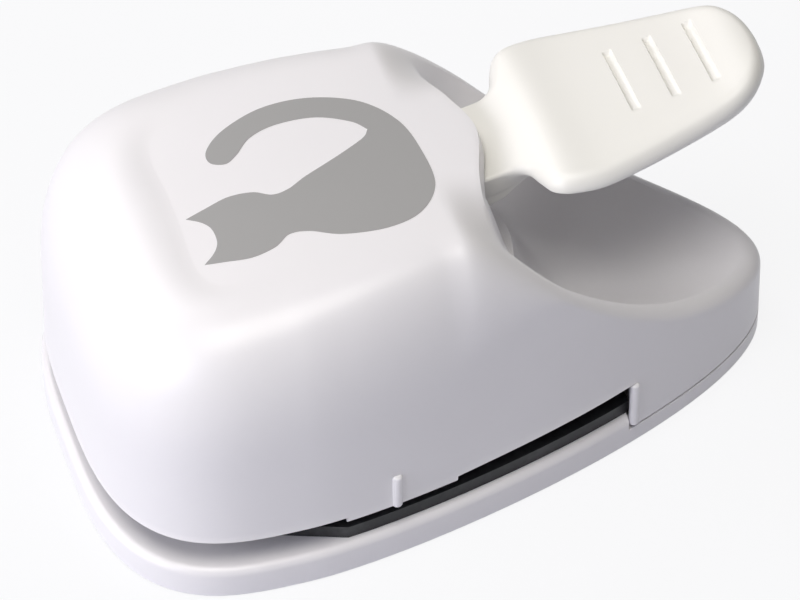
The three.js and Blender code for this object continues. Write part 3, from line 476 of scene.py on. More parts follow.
# Metal whose outer edges show a second colour
def metalFinish(name, colour, wornColour, roughness, bump, grainSize, metallic):
    material, tree, shader = newMaterial(name)
    grain = placeGroup(tree, mouldGrain, (-700, 0), Grain_size=grainSize,
                       Cloud_size=finish["metalClouds"])
    worn = placeGroup(tree, edgeWear, (-700, 250))
    tree.links.new(mixColours(tree, worn.outputs["Mask"], colour, wornColour), shader.inputs["Base Color"])
    tree.links.new(spreadValue(tree, grain.outputs["Clouds"], *roughness), shader.inputs["Roughness"])
    addRelief(tree, grain, shader, bump, finish["metalRelief"])
    shader.inputs["Metallic"].default_value = metallic
    return material


whitePlastic = mouldedPlastic("White ABS", colour=(0.875, 0.857, 0.872), shade=(0.845, 0.826, 0.846),
                              roughness=(0.3, 0.38), bump=0.12)
ivoryPlastic = mouldedPlastic("Ivory ABS", colour=(0.885, 0.872, 0.835), shade=(0.865, 0.85, 0.805),
                              roughness=(0.36, 0.46), bump=0.12)
greyPrint = mouldedPlastic("Grey print", colour=(0.355, 0.35, 0.348), shade=(0.34, 0.335, 0.333),
                           roughness=(0.38, 0.46), bump=0.08)
blackPlate = metalFinish("Blackened steel", colour=(0.02, 0.021, 0.024), wornColour=(0.1, 0.1, 0.105),
                         roughness=(0.32, 0.5), bump=0.2, grainSize=1800.0, metallic=0.6)
platedSteel = metalFinish("Plated steel", colour=(0.58, 0.59, 0.61), wornColour=(0.72, 0.72, 0.74),
                          roughness=(0.18, 0.34), bump=0.1, grainSize=2200.0, metallic=1.0)
darkNylon = mouldedPlastic("Dark nylon", colour=(0.03, 0.031, 0.034), shade=(0.024, 0.025, 0.028),
                           roughness=(0.45, 0.6), bump=0.3)
print("materials ready")


# Steps in coverDetail run over the shoulder, the top and the wall
coverDetail = dict(stations=(64, 0.8, 0.45, 48), outerSteps=(28, 44, 12), innerSteps=(6, 22, 6), lipRadius=0.5,
                   lipSteps=8, leastRound=0.3)
door = dict(halfWidth=11.5, frontY=8.6, rearY=15.0, innerY=3.8, bottom=26.0, top=44.0, past=9.0)
ribs = [dict(y=-12.0, radius=0.75, stand=0.5, inset=0.6, bottom=8.9, top=14.6, edge=0.4, sides=28),
        dict(y=25.4, radius=0.7, stand=0.5, inset=0.0, bottom=3.7, top=11.4, edge=0.4, sides=28)]


def buildCover():
    d = coverDetail
    stations = makeStations(*d["stations"])
    radius, wall = d["lipRadius"], cover["wall"]
    outer, inner = coverRings(0.0, *d["outerSteps"], radius), coverRings(wall, *d["innerSteps"], radius)

    def lipRing(turn):     # round under the lower edge, from the inner wall to the outer one
        inset = wall - radius * (1 - math.cos(turn)) if turn <= math.pi / 2 else radius * (1 + math.cos(turn))
        return lambda s: (*insetPoint(s, footInset(s[1]) + inset), lowerEdge(s[1]) + radius * (1 - math.sin(turn)))

    lip = [lipRing(math.pi * k / d["lipSteps"]) for k in range(1, d["lipSteps"])]
    vertices, faces = skinMesh(stations, list(reversed(inner)) + lip + outer)
    shell = makeObject("coverShell", vertices, faces, "body", whitePlastic, "white_plastic", replaced=("top_cover",))
    y0, y1, y2 = door["innerY"], door["frontY"], door["rearY"]
    z0, z1, z2 = door["bottom"], door["top"], door["top"] + door["past"]
    outline = [(y0, z0), (y2, z0), (y2, z2), (y1, z2), (y1, z1), (y0, z1)]
    booleanCut(shell, [prism(outline, -door["halfWidth"], door["halfWidth"], "X")])


# A closed turned body standing on Z, from radius and height pairs
def turnedMesh(profile, x, y, sides):
    vertices = [(px, py, z) for radius, z in profile for px, py in circle(x, y, radius, sides)]
    return vertices, netFaces(len(profile), sides) + capFaces(len(profile), sides)


# Radius and height pairs of a rod with rounded rims
def roundedRod(radius, z0, z1, edge, steps=5):
    low = [(radius - edge * (1 - math.sin(a)), z0 + edge * (1 - math.cos(a))) for a in quarterTurns(steps)]
    high = [(radius - edge * (1 - math.cos(a)), z1 - edge * (1 - math.sin(a))) for a in quarterTurns(steps)]
    return low + high


# Three radius and height pairs of a soft corner; way is 1 where the rod goes on upwards
def softCorner(radius, z, edge, way):
    return [(radius - edge, z), (radius - edge * 0.3, z + way * edge * 0.3), (radius, z + way * edge)]


def joined(parts):
    vertices, faces = [], []
    for moreVertices, moreFaces in parts:
        start = len(vertices)
        vertices += list(moreVertices)
        faces += [tuple(i + start for i in face) for face in moreFaces]
    return vertices, faces


def buildRibs():     # one rib marks the cutter's place on each side, one ends each slot
    parts = []
    for rib in ribs:
        for side in (-1, 1):
            x = side * (halfWidthAt(rib["y"]) - rib["inset"] - rib["radius"] + rib["stand"])
            rod = roundedRod(rib["radius"], rib["bottom"], rib["top"], rib["edge"])
            parts.append(turnedMesh(rod, x, rib["y"], rib["sides"]))
    makeObject("sideRibs", *joined(parts), "body", whitePlastic, "white_plastic")


buildCover()
buildRibs()
print("cover ready")


baseSizes = dict(height=5.0, tailHeight=3.0, edgeRound=1.2, footRound=0.5, wall=2.2, floor=1.4, frontWalls=3,
                 windowHalfWidth=19.0, windowFrontY=-35.0, windowRearY=4.0, windowCorner=4.0, windowSteps=10,
                 rearPocketCorner=0.6, frontPocketCorner=0.8, stations=(72, 1.0, 0.9, 56), footSteps=6, edgeSteps=8)
stackScrew = dict(shank=1.4, head=2.8, headThickness=1.5, x=11.0, y=20.0)
tailScrew = dict(shank=1.3, head=2.6, y=38.125)
# Ends of the cutting tools outside the base, and the room round each screw
cut = dict(low=-2.0, shankLow=-3.0, headLow=-2.5, high=8.0, tailPast=2.0, halfWidth=40.0, clearance=0.15,
           headSides=48)


def screwTools(screw, x, headTop):
    shank = prism(circle(x, screw["y"], screw["shank"] + cut["clearance"]), cut["shankLow"], cut["high"])
    head = circle(x, screw["y"], screw["head"] + cut["clearance"], cut["headSides"])
    return [shank, prism(head, cut["headLow"], headTop)]


def buildBase():
    b, wall = baseSizes, baseSizes["wall"]
    foot, edge = b["footRound"], b["edgeRound"]
    rings = [lambda s: (*middlePoint(s), 0.0)]
    for a in quarterTurns(b["footSteps"]):
        rings.append(lambda s, a=a: (*insetPoint(s, foot * (1 - math.sin(a))), foot * (1 - math.cos(a))))
    for a in quarterTurns(b["edgeSteps"]):
        rings.append(lambda s, a=a: (*insetPoint(s, edge * (1 - math.cos(a))),
                                     b["height"] - edge * (1 - math.sin(a))))
    rings.append(lambda s: (*middlePoint(s), b["height"]))
    vertices, faces = skinMesh(makeStations(*b["stations"]), rings)
    tray = makeObject("baseTray", vertices, faces, "body", whitePlastic, "white_plastic", replaced=("base_tray",))
    endY, pocketTop = rearY + cut["tailPast"], b["height"] - b["floor"]
    tail = [(slot["stepY"], b["tailHeight"]), (endY, b["tailHeight"]), (endY, cut["high"]),
            (slot["stepY"], cut["high"])]
    window = roundedRect(-b["windowHalfWidth"], b["windowHalfWidth"], b["windowFrontY"], b["windowRearY"],
                         b["windowCorner"], b["windowSteps"])
    tools = [prism(tail, -cut["halfWidth"], cut["halfWidth"], "X"), prism(window, cut["low"], cut["high"])]
    for side in (-1, 1):
        ends = sorted((side * wall / 2, side * (stackScrew["x"] - stackScrew["head"] - wall)))
        rear = roundedRect(*ends, b["windowRearY"] + wall, slot["rearY"] - wall, b["rearPocketCorner"])
        tools.append(prism(rear, cut["low"], pocketTop))
        tools += screwTools(stackScrew, side * stackScrew["x"], b["floor"] + stackScrew["headThickness"])
        ends = sorted((side * wall / 2, side * (b["windowHalfWidth"] - wall)))
        front = roundedRect(*ends, frontY + wall * b["frontWalls"], b["windowFrontY"] - wall,
                            b["frontPocketCorner"])
        tools.append(prism(front, cut["low"], pocketTop))
    booleanCut(tray, tools + screwTools(tailScrew, 0, b["tailHeight"] - b["floor"]))


buildBase()
print("base ready")


pivot = dict(y=-38.0, z=30.0, pinRadius=2.0, barrelRadius=4.5, boreGap=0.08)
lever = dict(reach=87.0, rise=22.6, skin=1.8, skirt=1.7, innerRound=0.3, lipBevel=0.2, lowEdge=0.45, sideBulge=0.8,
             crown=0.8, neckEdge=0.5, neckY=8.5, paddleEdge=2.1, paddleHalfWidth=15.9, paddleY=18.0,
             armHalfWidth=7.5, armFrontPast=1.5, armRearY=14.6, armCorner=0.8, armSideIn=0.5, armTaperY=(4.0, 9.0),
             armDrop=1.2, armDropY=(0.0, 5.0), ribHalfWidth=0.8, ribFoot=0.8, ribEnds=(0.635, 0.975),
             ribRise=0.15, ribSink=0.3, ribCount=40, noseRadius=3.6, noseY=-16.0, noseEdge=0.5, barrelEdge=0.4)
leverDetail = dict(outline=0.5, cap=0.8, armOutline=0.7, armCap=1.6, lowSteps=5, topSteps=10, armSteps=4)
groove = dict(count=3, firstY=29.4, pitch=5.7, length=12.4, width=1.35, depth=0.62, sideways=-0.5, endLength=0.7,
              meanDepth=0.75, slant=0.6)
grooveGrid = dict(left=-7.2, right=6.2, half=1.0, step=0.14)     # the closer mesh round each groove
# Shares of the lever's reach, its rise and its paddle's half width
leverTopShares = [(-0.02, 0.17), (0.183, 0.313), (0.365, 0.461), (0.479, 0.552), (0.531, 0.587), (0.565, 0.612),
                  (0.588, 0.648), (0.611, 0.7), (0.634, 0.732), (0.696, 0.75), (0.765, 0.788), (0.833, 0.836),
                  (0.902, 0.904), (0.959, 0.987), (0.989, 0.988), (1.0, 0.92)]
lipShares = [(0.44, 0.34), (0.5, 0.385), (0.55, 0.44), (0.58, 0.51), (0.605, 0.57), (0.64, 0.6), (0.719, 0.625),
             (0.811, 0.67), (0.89, 0.727), (0.965, 0.775), (1.0, 0.81)]
armLowShares = [(-0.02, -0.11), (0.068, -0.065), (0.16, -0.02), (0.251, 0.0), (0.365, 0.174), (0.479, 0.3),
                (0.548, 0.365), (0.576, 0.452), (0.61, 0.56)]
upperPlanShares = [(0.44, 0.463), (0.5, 0.463), (0.545, 0.465), (0.572, 0.485), (0.589, 0.56), (0.6, 0.72),
                   (0.611, 0.85), (0.634, 0.93), (0.685, 0.952), (0.753, 0.883), (0.822, 0.796), (0.879, 0.722),
                   (0.925, 0.642), (0.959, 0.53), (0.984, 0.346), (0.996, 0.16), (1.0, 0.0)]
lowerPlanShares = [(0.44, 0.45), (0.5, 0.45), (0.545, 0.452), (0.58, 0.465), (0.603, 0.53), (0.622, 0.67),
                   (0.638, 0.77), (0.662, 0.865), (0.705, 0.895), (0.76, 0.838), (0.826, 0.752), (0.88, 0.682),
                   (0.922, 0.602), (0.953, 0.495), (0.977, 0.325), (0.988, 0.15), (0.992, 0.0)]


def leverLine(shares, steps=8):
    line = smoothLine([(pivot["y"] + a * lever["reach"], pivot["z"] + b * lever["rise"]) for a, b in shares], steps)
    ys, zs = np.array([p[0] for p in line]), np.array([p[1] for p in line])
    order = np.argsort(ys)
    return lambda y: np.interp(y, ys[order], zs[order])


# The same closed outline with points at an even spacing
def evenLoop(points, spacing):
    loop = np.array(points + [points[0]])
    steps = np.hypot(*np.diff(loop, axis=0).T)
    along = np.concatenate([[0], np.cumsum(steps)])
    count = int(round(along[-1] / spacing))
    at = np.arange(count) * along[-1] / count
    return np.column_stack([np.interp(at, along, loop[:, k]) for k in (0, 1)])


# The outline drawn in by one distance, or by one for each point; it runs anticlockwise
def insetLoop(loop, distance):
    before, after = np.roll(loop, 1, axis=0), np.roll(loop, -1, axis=0)
    way = after - before
    way /= np.hypot(*way.T)[:, None]
    return loop + np.column_stack([-way[:, 1], way[:, 0]]) * np.broadcast_to(distance, len(loop))[:, None]


def insideLoop(points, loop, margin):
    x, y = points[:, 0][:, None], points[:, 1][:, None]
    ax, ay = loop[:, 0][None], loop[:, 1][None]
    bx, by = np.roll(loop[:, 0], -1)[None], np.roll(loop[:, 1], -1)[None]
    crosses = ((ay > y) != (by > y)) & (x < (bx - ax) * (y - ay) / np.where(by == ay, 1e-12, by - ay) + ax)
    clear = np.hypot(x - ax, y - ay).min(axis=1) > margin
    return (crosses.sum(axis=1) % 2 == 1) & clear


capMargin = 0.55     # share of the spacing that a cap's grid keeps off its outline


# A triangulated cap inside an outline, with its height taken from a function; fine gives boxes with a closer grid
def filledCap(loop, spacing, height, fine=None):
    low, high = loop.min(axis=0), loop.max(axis=0)
    gx, gy = np.meshgrid(np.arange(low[0], high[0], spacing), np.arange(low[1], high[1], spacing))
    gx = gx + (np.arange(gx.shape[0]) % 2)[:, None] * spacing / 2
    grid = np.column_stack([gx.ravel(), gy.ravel()])
    for x0, x1, y0, y1, step in fine or ():
        grid = grid[~((grid[:, 0] > x0) & (grid[:, 0] < x1) & (grid[:, 1] > y0) & (grid[:, 1] < y1))]
        fx, fy = np.meshgrid(np.arange(x0, x1 + step / 2, step * 2), np.arange(y0, y1 + step / 2, step))
        grid = np.vstack([grid, np.column_stack([fx.ravel(), fy.ravel()])])
    grid = grid[insideLoop(grid, loop, spacing * capMargin)]
    points = [Vector(p) for p in np.vstack([loop, grid])]
    flat, _, triangles, *_ = geometry.delaunay_2d_cdt(points, [], [list(range(len(loop)))], 1, 1e-5)
    return [(p.x, p.y, height(p.x, p.y)) for p in flat], [tuple(t) for t in triangles]


# A closed body from rings of points, ending in a cap inside the first ring and one inside the last
def loftMesh(rings, lowHeight, topHeight, spacing, fine=None):
    vertices = [tuple(point) for ring in rings for point in ring]
    caps = [filledCap(rings[-1][:, :2], spacing, topHeight, fine), filledCap(rings[0][:, :2], spacing * 2, lowHeight)]
    return joined([(vertices, netFaces(len(rings), len(rings[0])))] + caps)


def ringAt(loop, heights):
    return np.column_stack([loop, heights])


# A turned body across the part, with an optional bore
def crossTube(y, z, outer, inner, halfLength, edge, sides=48):
    profile = softCorner(outer, -halfLength, edge, 1) + softCorner(outer, halfLength, edge, -1)[::-1]
    if inner > 0:
        profile += [(inner, halfLength), (inner, -halfLength)]
    vertices = [(x, py, pz) for radius, x in profile for py, pz in circle(y, z, radius, sides)]
    faces = netFaces(len(profile), sides, closed=inner > 0)
    return vertices, faces if inner > 0 else faces + capFaces(len(profile), sides)


# The upper and the lower outline of the lever behind the pivot, with as many points each
def leverOutlines(spacing):
    halves = []
    for shares in (upperPlanShares, lowerPlanShares):
        points = [(b * lever["paddleHalfWidth"], pivot["y"] + a * lever["reach"]) for a, b in shares]
        halves.append(np.array(smoothLine(points, 10)))
    run = np.concatenate([[0], np.cumsum(np.hypot(*np.diff(halves[0], axis=0).T))])
    at = np.linspace(0, run[-1], int(run[-1] / spacing))
    loops = []
    for half in halves:
        x, y = np.maximum(0, np.interp(at, run, half[:, 0])), np.interp(at, run, half[:, 1])
        front = np.column_stack([np.linspace(0, x[0], 10)[:-1], np.full(9, y[0])])
        right = np.vstack([front, np.column_stack([x, y])])
        loops.append(np.vstack([right, right[1:-1][::-1] * (-1, 1)]))
    return loops


leverLevel, leverLip = leverLine(leverTopShares), leverLine(lipShares)


def leverTop(x, y):
    level = leverLevel(y)
    share = np.clip(np.abs(x) / lever["paddleHalfWidth"], 0, 1)
    inPaddle = np.clip((y - lever["neckY"]) / (lever["paddleY"] - lever["neckY"]), 0, 1)
    nearTip = np.clip((pivot["y"] + lever["reach"] - y) / lever["paddleHalfWidth"], 0, 1)
    return level + lever["crown"] * (1 - share ** 2) * inPaddle * nearTip


def groovedTop(x, y):
    z = float(leverTop(x, y))
    x -= groove["sideways"]
    for k in range(groove["count"]):
        across = (y - groove["firstY"] - groove["pitch"] * k) / (groove["width"] / 2)
        past = max(0.0, abs(x) - groove["length"] / 2 + groove["endLength"]) / groove["endLength"]
        if abs(across) < 1 and past < 1:
            deep = groove["depth"] * (groove["meanDepth"] - groove["slant"] * x / groove["length"])
            z -= deep * (1 - across ** 4) * (1 - past ** 2) ** 0.5
    return z


def leverShell():
    upper, lower = leverOutlines(leverDetail["outline"])
    low, skirt, bend = lever["lowEdge"], lever["skirt"], lever["innerRound"]
    share = np.clip((upper[:, 1] - lever["neckY"]) / (lever["paddleY"] - lever["neckY"]), 0, 1)
    edge = lever["neckEdge"] + (lever["paddleEdge"] - lever["neckEdge"]) * share * share * (3 - 2 * share)
    lip = leverLip(lower[:, 1])
    rings = []
    for inset, rise in ((skirt + bend, 0.0), (skirt, -bend)):
        loop = insetLoop(lower, inset)
        rings.append(ringAt(loop, leverTop(loop[:, 0], loop[:, 1]) - lever["skin"] + rise))
    rings += [ringAt(insetLoop(lower, inset), lip) for inset in (skirt, skirt - lever["lipBevel"])]
    for a in quarterTurns(leverDetail["lowSteps"]):
        rings.append(ringAt(insetLoop(lower, low * (1 - math.sin(a))), lip + low * (1 - math.cos(a))))
    foot, crest = lip + low, leverTop(upper[:, 0], upper[:, 1]) - edge
    for t in (0.2, 0.4, 0.6, 0.8):
        side = lower + (upper - lower) * math.sin(math.pi / 2 * t) ** lever["sideBulge"]
        rings.append(ringAt(side, foot + (crest - foot) * t))
    for a in quarterTurns(leverDetail["topSteps"]):
        loop = insetLoop(upper, edge * (1 - math.cos(a)))
        rings.append(ringAt(loop, leverTop(loop[:, 0], loop[:, 1]) - edge * (1 - math.sin(a))))
    g, middles = grooveGrid, [groove["firstY"] + groove["pitch"] * k for k in range(groove["count"])]
    fine = [(g["left"], g["right"], y - g["half"], y + g["half"], g["step"]) for y in middles]
    return loftMesh(rings, lambda x, y: float(leverTop(x, y)) - lever["skin"], groovedTop, leverDetail["cap"], fine)


# The deep arm under the neck, from the barrel to the paddle
def leverArm():
    armLow, halfWidth = leverLine(armLowShares), lever["armHalfWidth"]
    edge, low = lever["neckEdge"], lever["lowEdge"]
    armFrontY = pivot["y"] - lever["armFrontPast"]
    outline = roundedRect(-halfWidth, halfWidth, armFrontY, lever["armRearY"], lever["armCorner"])
    arm = evenLoop(outline, leverDetail["armOutline"])
    arm[:, 0] *= np.interp(arm[:, 1], lever["armTaperY"], [1.0, 1 - lever["armSideIn"] / halfWidth])
    top = lambda y: leverLevel(y) - np.interp(y, lever["armDropY"], [0.0, lever["armDrop"]])
    rings = []
    for a in quarterTurns(leverDetail["armSteps"]):
        rings.append(ringAt(insetLoop(arm, low * (1 - math.sin(a))), armLow(arm[:, 1]) + low * (1 - math.cos(a))))
    for a in quarterTurns(leverDetail["armSteps"]):
        rings.append(ringAt(insetLoop(arm, edge * (1 - math.cos(a))), top(arm[:, 1]) - edge * (1 - math.sin(a))))
    return loftMesh(rings, lambda x, y: float(armLow(y)), lambda x, y: float(top(y)), leverDetail["armCap"])


def leverRib():
    ends = [pivot["y"] + lever["reach"] * share for share in lever["ribEnds"]]
    half, foot = lever["ribHalfWidth"], lever["ribHalfWidth"] * lever["ribFoot"]
    vertices = []
    for y in np.linspace(*ends, lever["ribCount"]):
        high = float(leverTop(0.0, y)) - lever["skin"] + lever["ribSink"]
        low = float(leverLip(y)) + lever["ribRise"]
        vertices += [(-half, y, high), (half, y, high), (foot, y, low), (-foot, y, low)]
    return vertices, netFaces(lever["ribCount"], 4) + capFaces(lever["ribCount"], 4)


def buildLever():
    halfWidth, bore = lever["armHalfWidth"], pivot["pinRadius"] + pivot["boreGap"]
    barrel = crossTube(pivot["y"], pivot["z"], pivot["barrelRadius"], bore, halfWidth, lever["barrelEdge"])
    nose = crossTube(lever["noseY"], pivot["z"], lever["noseRadius"], 0, halfWidth, lever["noseEdge"])
    parts = [leverShell(), leverArm(), barrel, nose, leverRib()]
    makeObject("leverBody", *joined(parts), "lever", ivoryPlastic, "ivory_plastic", 40, ("lever",))


buildLever()
print("lever ready")


cat = dict(length=33.0, y=-16.0, rise=0.02, thickness=0.02, steps=10, spacing=1.2)
# Shares of the print's length from its middle, across and along
catSideShares = [(0.068, -0.509), (0.045, -0.42), (0.022, -0.32), (0.038, -0.22), (0.085, -0.15), (0.08, -0.08),
                 (0.04, 0.0), (0.0, 0.1), (-0.043, 0.2), (-0.09, 0.29), (-0.13, 0.32)]
catTailShares = [(-0.13, 0.32), (-0.2, 0.268), (-0.278, 0.14), (-0.3, -0.02), (-0.27, -0.14), (-0.195, -0.22),
                 (-0.165, -0.275), (-0.2, -0.333), (-0.275, -0.325), (-0.36, -0.23), (-0.42, -0.05), (-0.4, 0.15),
                 (-0.3, 0.34), (-0.13, 0.455), (0.08, 0.49), (0.28, 0.48), (0.41, 0.38), (0.449, 0.23), (0.415, 0.05),
                 (0.345, -0.07), (0.33, -0.15), (0.375, -0.22), (0.392, -0.32), (0.37, -0.42), (0.347, -0.509)]
catEarShares = [(0.347, -0.509), (0.305, -0.46), (0.26, -0.432), (0.208, -0.425), (0.155, -0.432), (0.11, -0.46),
                (0.068, -0.509)]


def buildPrint():
    loop = []
    for shares in (catSideShares, catTailShares, catEarShares):
        points = [(a * cat["length"], cat["y"] + b * cat["length"]) for a, b in shares]
        loop += smoothLine(points, cat["steps"])[:-1]
    loop = np.array(loop)
    x, y = loop.T
    if np.sum(x * np.roll(y, -1) - np.roll(x, -1) * y) < 0:
        loop = loop[::-1]
    levels = (cat["rise"], cat["rise"] + cat["thickness"])
    caps = [filledCap(loop, cat["spacing"], lambda x, y, level=level: headHeight(y) + level)
            for level in levels[::-1]]
    walls = [(px, py, headHeight(py) + level) for level in levels for px, py in loop], netFaces(2, len(loop))
    makeObject("catPrint", *joined([*caps, walls]), "body", greyPrint, "white_plastic", 50)


buildPrint()
print("print ready")


# Solids that keep their own shape, with rounded edges and their finish
def dress(nodes, material, edge, angle=32):
    for name in nodes:
        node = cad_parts[name]
        giveMaterial(node, material)
        soften = node.modifiers.new("edges", "BEVEL")
        soften.width, soften.segments = edge * mm, 2
        soften.limit_method, soften.angle_limit = "ANGLE", math.radians(angle)
        soften.harden_normals = False


# Springs whose wires are rounded by subdivision
def roundWires(nodes, material):
    for name in nodes:
        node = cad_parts[name]
        giveMaterial(node, material)
        smooth = node.modifiers.new("round", "SUBSURF")
        smooth.levels = smooth.render_levels = 1


# Lengths in millimetres; recessArm is a share of the head, recessWidth of the shank, recessDepth of the head's height
fastener = dict(chamfer=0.3, recessArm=0.62, recessWidth=0.3, recessDepth=0.62, recessPast=0.2, recessCorner=0.1,
                pitch=0.8, ridge=0.16, centre=0.05, neck=0.6, tipPlain=1.2, tipRise=0.2, tipTaper=0.5, tipShare=0.5,
                pinEdge=0.2, screwSides=36, pinSides=48)


# Middle, radii of head and shank, and the heights of head and ends, read from a solid's own points
def fastenerSizes(name):
    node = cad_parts[name]
    points = np.array([node.matrix_world @ v.co for v in node.data.vertices]) / mm
    low, high = points.min(axis=0), points.max(axis=0)
    middle = (low + high) / 2
    radii = np.hypot(points[:, 0] - middle[0], points[:, 1] - middle[1])
    head = radii.max()
    headPoints = points[radii > head * 0.97]                        # on the head's rim
    shank = radii[(radii < head * 0.9) & (radii > 0.3)].max()       # neither the rim nor the axis
    return middle, head, shank, headPoints[:, 2].min(), headPoints[:, 2].max(), low[2], high[2]


def buildScrew(name, body):
    middle, head, shank, head0, head1, low, high = fastenerSizes(name)
    f, up = fastener, high > head1 + 0.5     # up: the head is below and the shank points up
    tip, seat, face = (high, head1, head0) if up else (low, head0, head1)
    way = 1 if tip > seat else -1
    core, z = shank - f["ridge"], seat + way * f["neck"]
    profile = [(f["centre"], face)] + softCorner(head, face, f["chamfer"], way)
    profile += [(head, seat), (shank, seat), (shank, z)]
    while (tip - z) * way > f["tipPlain"] + f["pitch"]:
        turn = way * f["pitch"]
        profile += [(core, z + turn * 0.5), (shank, z + turn * 0.85), (shank, z + turn)]
        z += turn
    profile += [(core, z + way * f["tipRise"]), (core, tip - way * f["tipTaper"]), (shank * f["tipShare"], tip),
                (f["centre"], tip)]
    screw = makeObject(name + "Turned", *turnedMesh(profile, middle[0], middle[1], f["screwSides"]), body,
                       platedSteel, "steel", replaced=(name,))
    arm, half = f["recessArm"] * head, f["recessWidth"] * shank
    ends = sorted((face - way * f["recessPast"], face + way * f["recessDepth"] * abs(seat - face)))
    x, y = middle[:2]
    booleanCut(screw, [prism(roundedRect(x - a, x + a, y - b, y + b, f["recessCorner"], 2), *ends)
                       for a, b in ((arm, half), (half, arm))])


def buildPin(name, body):
    middle, head, shank, head0, head1, low, high = fastenerSizes(name)
    f, edge = fastener, fastener["pinEdge"]
    profile = [(f["centre"], low)] + softCorner(head, low, edge, 1) + softCorner(head, head1, edge, -1)[::-1]
    profile += [(shank, head1)] + softCorner(shank, high, edge, -1)[::-1] + [(f["centre"], high)]
    makeObject(name + "Turned", *turnedMesh(profile, middle[0], middle[1], f["pinSides"]), body,
               platedSteel, "steel", replaced=(name,))


dress(["die_plate", "guide_plate", "paper_stop"], blackPlate, 0.12)
dress(["punch_carrier"], darkNylon, 0.2)
dress(["pivot_bracket", "pivot_pin", "pin_clip", "punch_cutter"], platedSteel, 0.1)
roundWires(["return_spring_left", "return_spring_right"], platedSteel)
for name in ("cutter_screw_1", "cutter_screw_2"):
    buildScrew(name, "punch")
for name in ("cover_screw_1", "cover_screw_2", "cover_screw_3", "cover_screw_4", "stack_screw_left",
             "stack_screw_right", "tail_screw"):
    buildScrew(name, "body")
for name in ("guide_post_left", "guide_post_right"):
    buildPin(name, "body")
dress(["bracket_rivet_left", "bracket_rivet_right"], platedSteel, 0.1)
print("mechanism dressed")


# Full white for the camera and for mirrored and transmitted rays; every other ray meets the plain finish
def whiteToRays(tree, plain, target, share):
    rays = addNode(tree, "ShaderNodeLightPath", (-600, -400))
    seen = addNode(tree, "ShaderNodeMath", (-400, -400), operation="MAXIMUM")
    traced = addNode(tree, "ShaderNodeMath", (-250, -400), operation="MAXIMUM")
    part = addNode(tree, "ShaderNodeMath", (-100, -400), operation="MULTIPLY")
    part.inputs[1].default_value = share
    mix = addNode(tree, "ShaderNodeMixShader", (200, 0))
    tree.links.new(rays.outputs["Is Camera Ray"], seen.inputs[0])
    tree.links.new(rays.outputs["Is Glossy Ray"], seen.inputs[1])
    tree.links.new(seen.outputs["Value"], traced.inputs[0])
    tree.links.new(rays.outputs["Is Transmission Ray"], traced.inputs[1])
    tree.links.new(traced.outputs["Value"], part.inputs[0])
    tree.links.new(part.outputs["Value"], mix.inputs["Fac"])
    tree.links.new(plain, mix.inputs[1])
    tree.links.new(mix.outputs["Shader"], target)
    return mix.inputs[2]


stage = dict(floorColour=(0.72, 0.73, 0.82), floorGlow=0.87, floorRoughness=0.9, floorHalfWidth=3.0,
             floorDrop=0.0001, fillColour=(0.95, 0.97, 1.0), fillStrength=0.03)


def buildFloor():
    half = stage["floorHalfWidth"]
    mesh = bpy.data.meshes.new("floor")
    mesh.from_pydata([(-half, -half, 0), (half, -half, 0), (half, half, 0), (-half, half, 0)], [], [(0, 1, 2, 3)])
    floor = bpy.data.objects.new("floor", mesh)
    bpy.context.scene.collection.objects.link(floor)
    floor.location.z = -stage["floorDrop"]
    material, tree, shader = newMaterial("Pale floor")
    shader.inputs["Base Color"].default_value = (*stage["floorColour"], 1)
    shader.inputs["Roughness"].default_value = stage["floorRoughness"]
    glow = addNode(tree, "ShaderNodeEmission", (0, -300), Strength=1.0)
    glow.inputs["Color"].default_value = (1, 1, 1, 1)
    target = tree.nodes["Material Output"].inputs["Surface"]
    white = whiteToRays(tree, shader.outputs["BSDF"], target, stage["floorGlow"])
    tree.links.new(glow.outputs["Emission"], white)
    mesh.materials.append(material)


def buildWorld():
    world = bpy.data.worlds.new("Studio")
    bpy.context.scene.world = world
    world.use_nodes = True
    tree = world.node_tree
    fill = tree.nodes["Background"]
    fill.inputs["Color"].default_value = (*stage["fillColour"], 1)
    fill.inputs["Strength"].default_value = stage["fillStrength"]
    glow = addNode(tree, "ShaderNodeBackground", (0, -200), Strength=1.0)
    glow.inputs["Color"].default_value = (1, 1, 1, 1)
    white = whiteToRays(tree, fill.outputs["Background"], tree.nodes["World Output"].inputs["Surface"], 1.0)
    tree.links.new(glow.outputs["Background"], white)


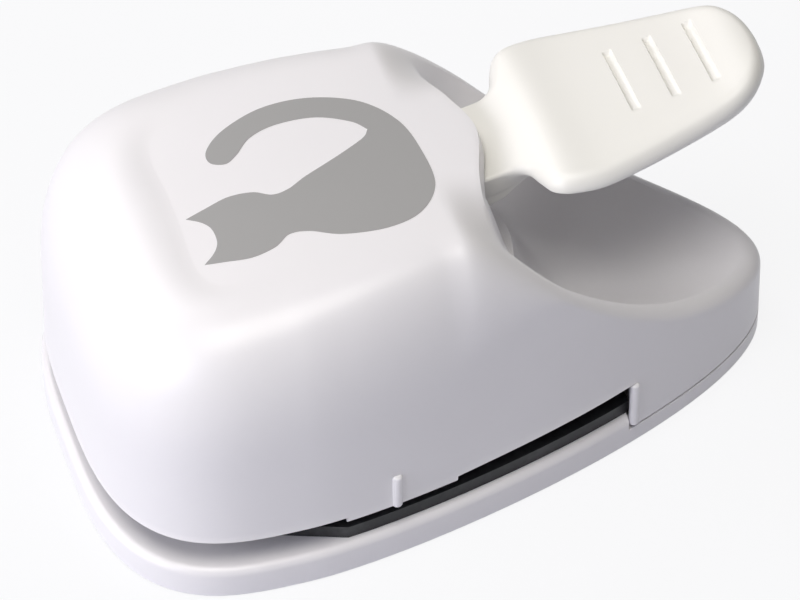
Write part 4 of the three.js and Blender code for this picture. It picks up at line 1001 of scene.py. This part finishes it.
# Places in metres, powers in watts
lamps = [dict(name="farLamp", at=(-0.9, -0.6, 1.0), size=0.8, power=4.5, colour=(1.0, 0.98, 1.0)),
         dict(name="frontLamp", at=(0.1, -1.3, 0.5), size=0.8, power=7.6, colour=(1.0, 0.975, 0.95)),
         dict(name="nearLamp", at=(0.58, -1.17, 0.66), size=0.8, power=4.9, colour=(0.76, 0.8, 1.0)),
         dict(name="topLamp", at=(0.33, -0.22, 1.24), size=0.8, power=9.7, colour=(1.0, 0.975, 0.92))]

lampAim = (0.0, 0.0, 0.02)


def buildLamps():
    for lamp in lamps:
        light = bpy.data.lights.new(lamp["name"], "AREA")
        light.shape, light.size, light.energy, light.color = "DISK", lamp["size"], lamp["power"], lamp["colour"]
        holder = bpy.data.objects.new(lamp["name"], light)
        bpy.context.scene.collection.objects.link(holder)
        holder.location = lamp["at"]
        holder.rotation_euler = (Vector(lampAim) - Vector(lamp["at"])).to_track_quat("-Z", "Y").to_euler()


cameraView = dict(azimuth=72.569, elevation=44.0, distance=704.0, slideX=-2.09, slideY=11.64, lens=225.0, sensor=36.0,
                  clipStart=0.05, clipEnd=20.0)


def buildCamera():
    v = cameraView
    az, el = math.radians(v["azimuth"]), math.radians(v["elevation"])
    right = Vector((math.cos(az), math.sin(az), 0))
    back = Vector((math.sin(az) * math.cos(el), -math.cos(az) * math.cos(el), math.sin(el)))
    up = back.cross(right)
    camera = bpy.data.objects.new("camera", bpy.data.cameras.new("camera"))
    bpy.context.scene.collection.objects.link(camera)
    camera.data.lens, camera.data.sensor_width = v["lens"], v["sensor"]
    camera.data.clip_start, camera.data.clip_end = v["clipStart"], v["clipEnd"]
    camera.matrix_world = Matrix((right, up, back)).transposed().to_4x4()
    camera.location = (back * v["distance"] + right * v["slideX"] + up * v["slideY"]) * mm
    bpy.context.scene.camera = camera


buildFloor()
buildWorld()
buildLamps()
buildCamera()
bpy.context.scene.view_settings.view_transform = "Standard"
bpy.context.view_layer.update()
print("stage ready")
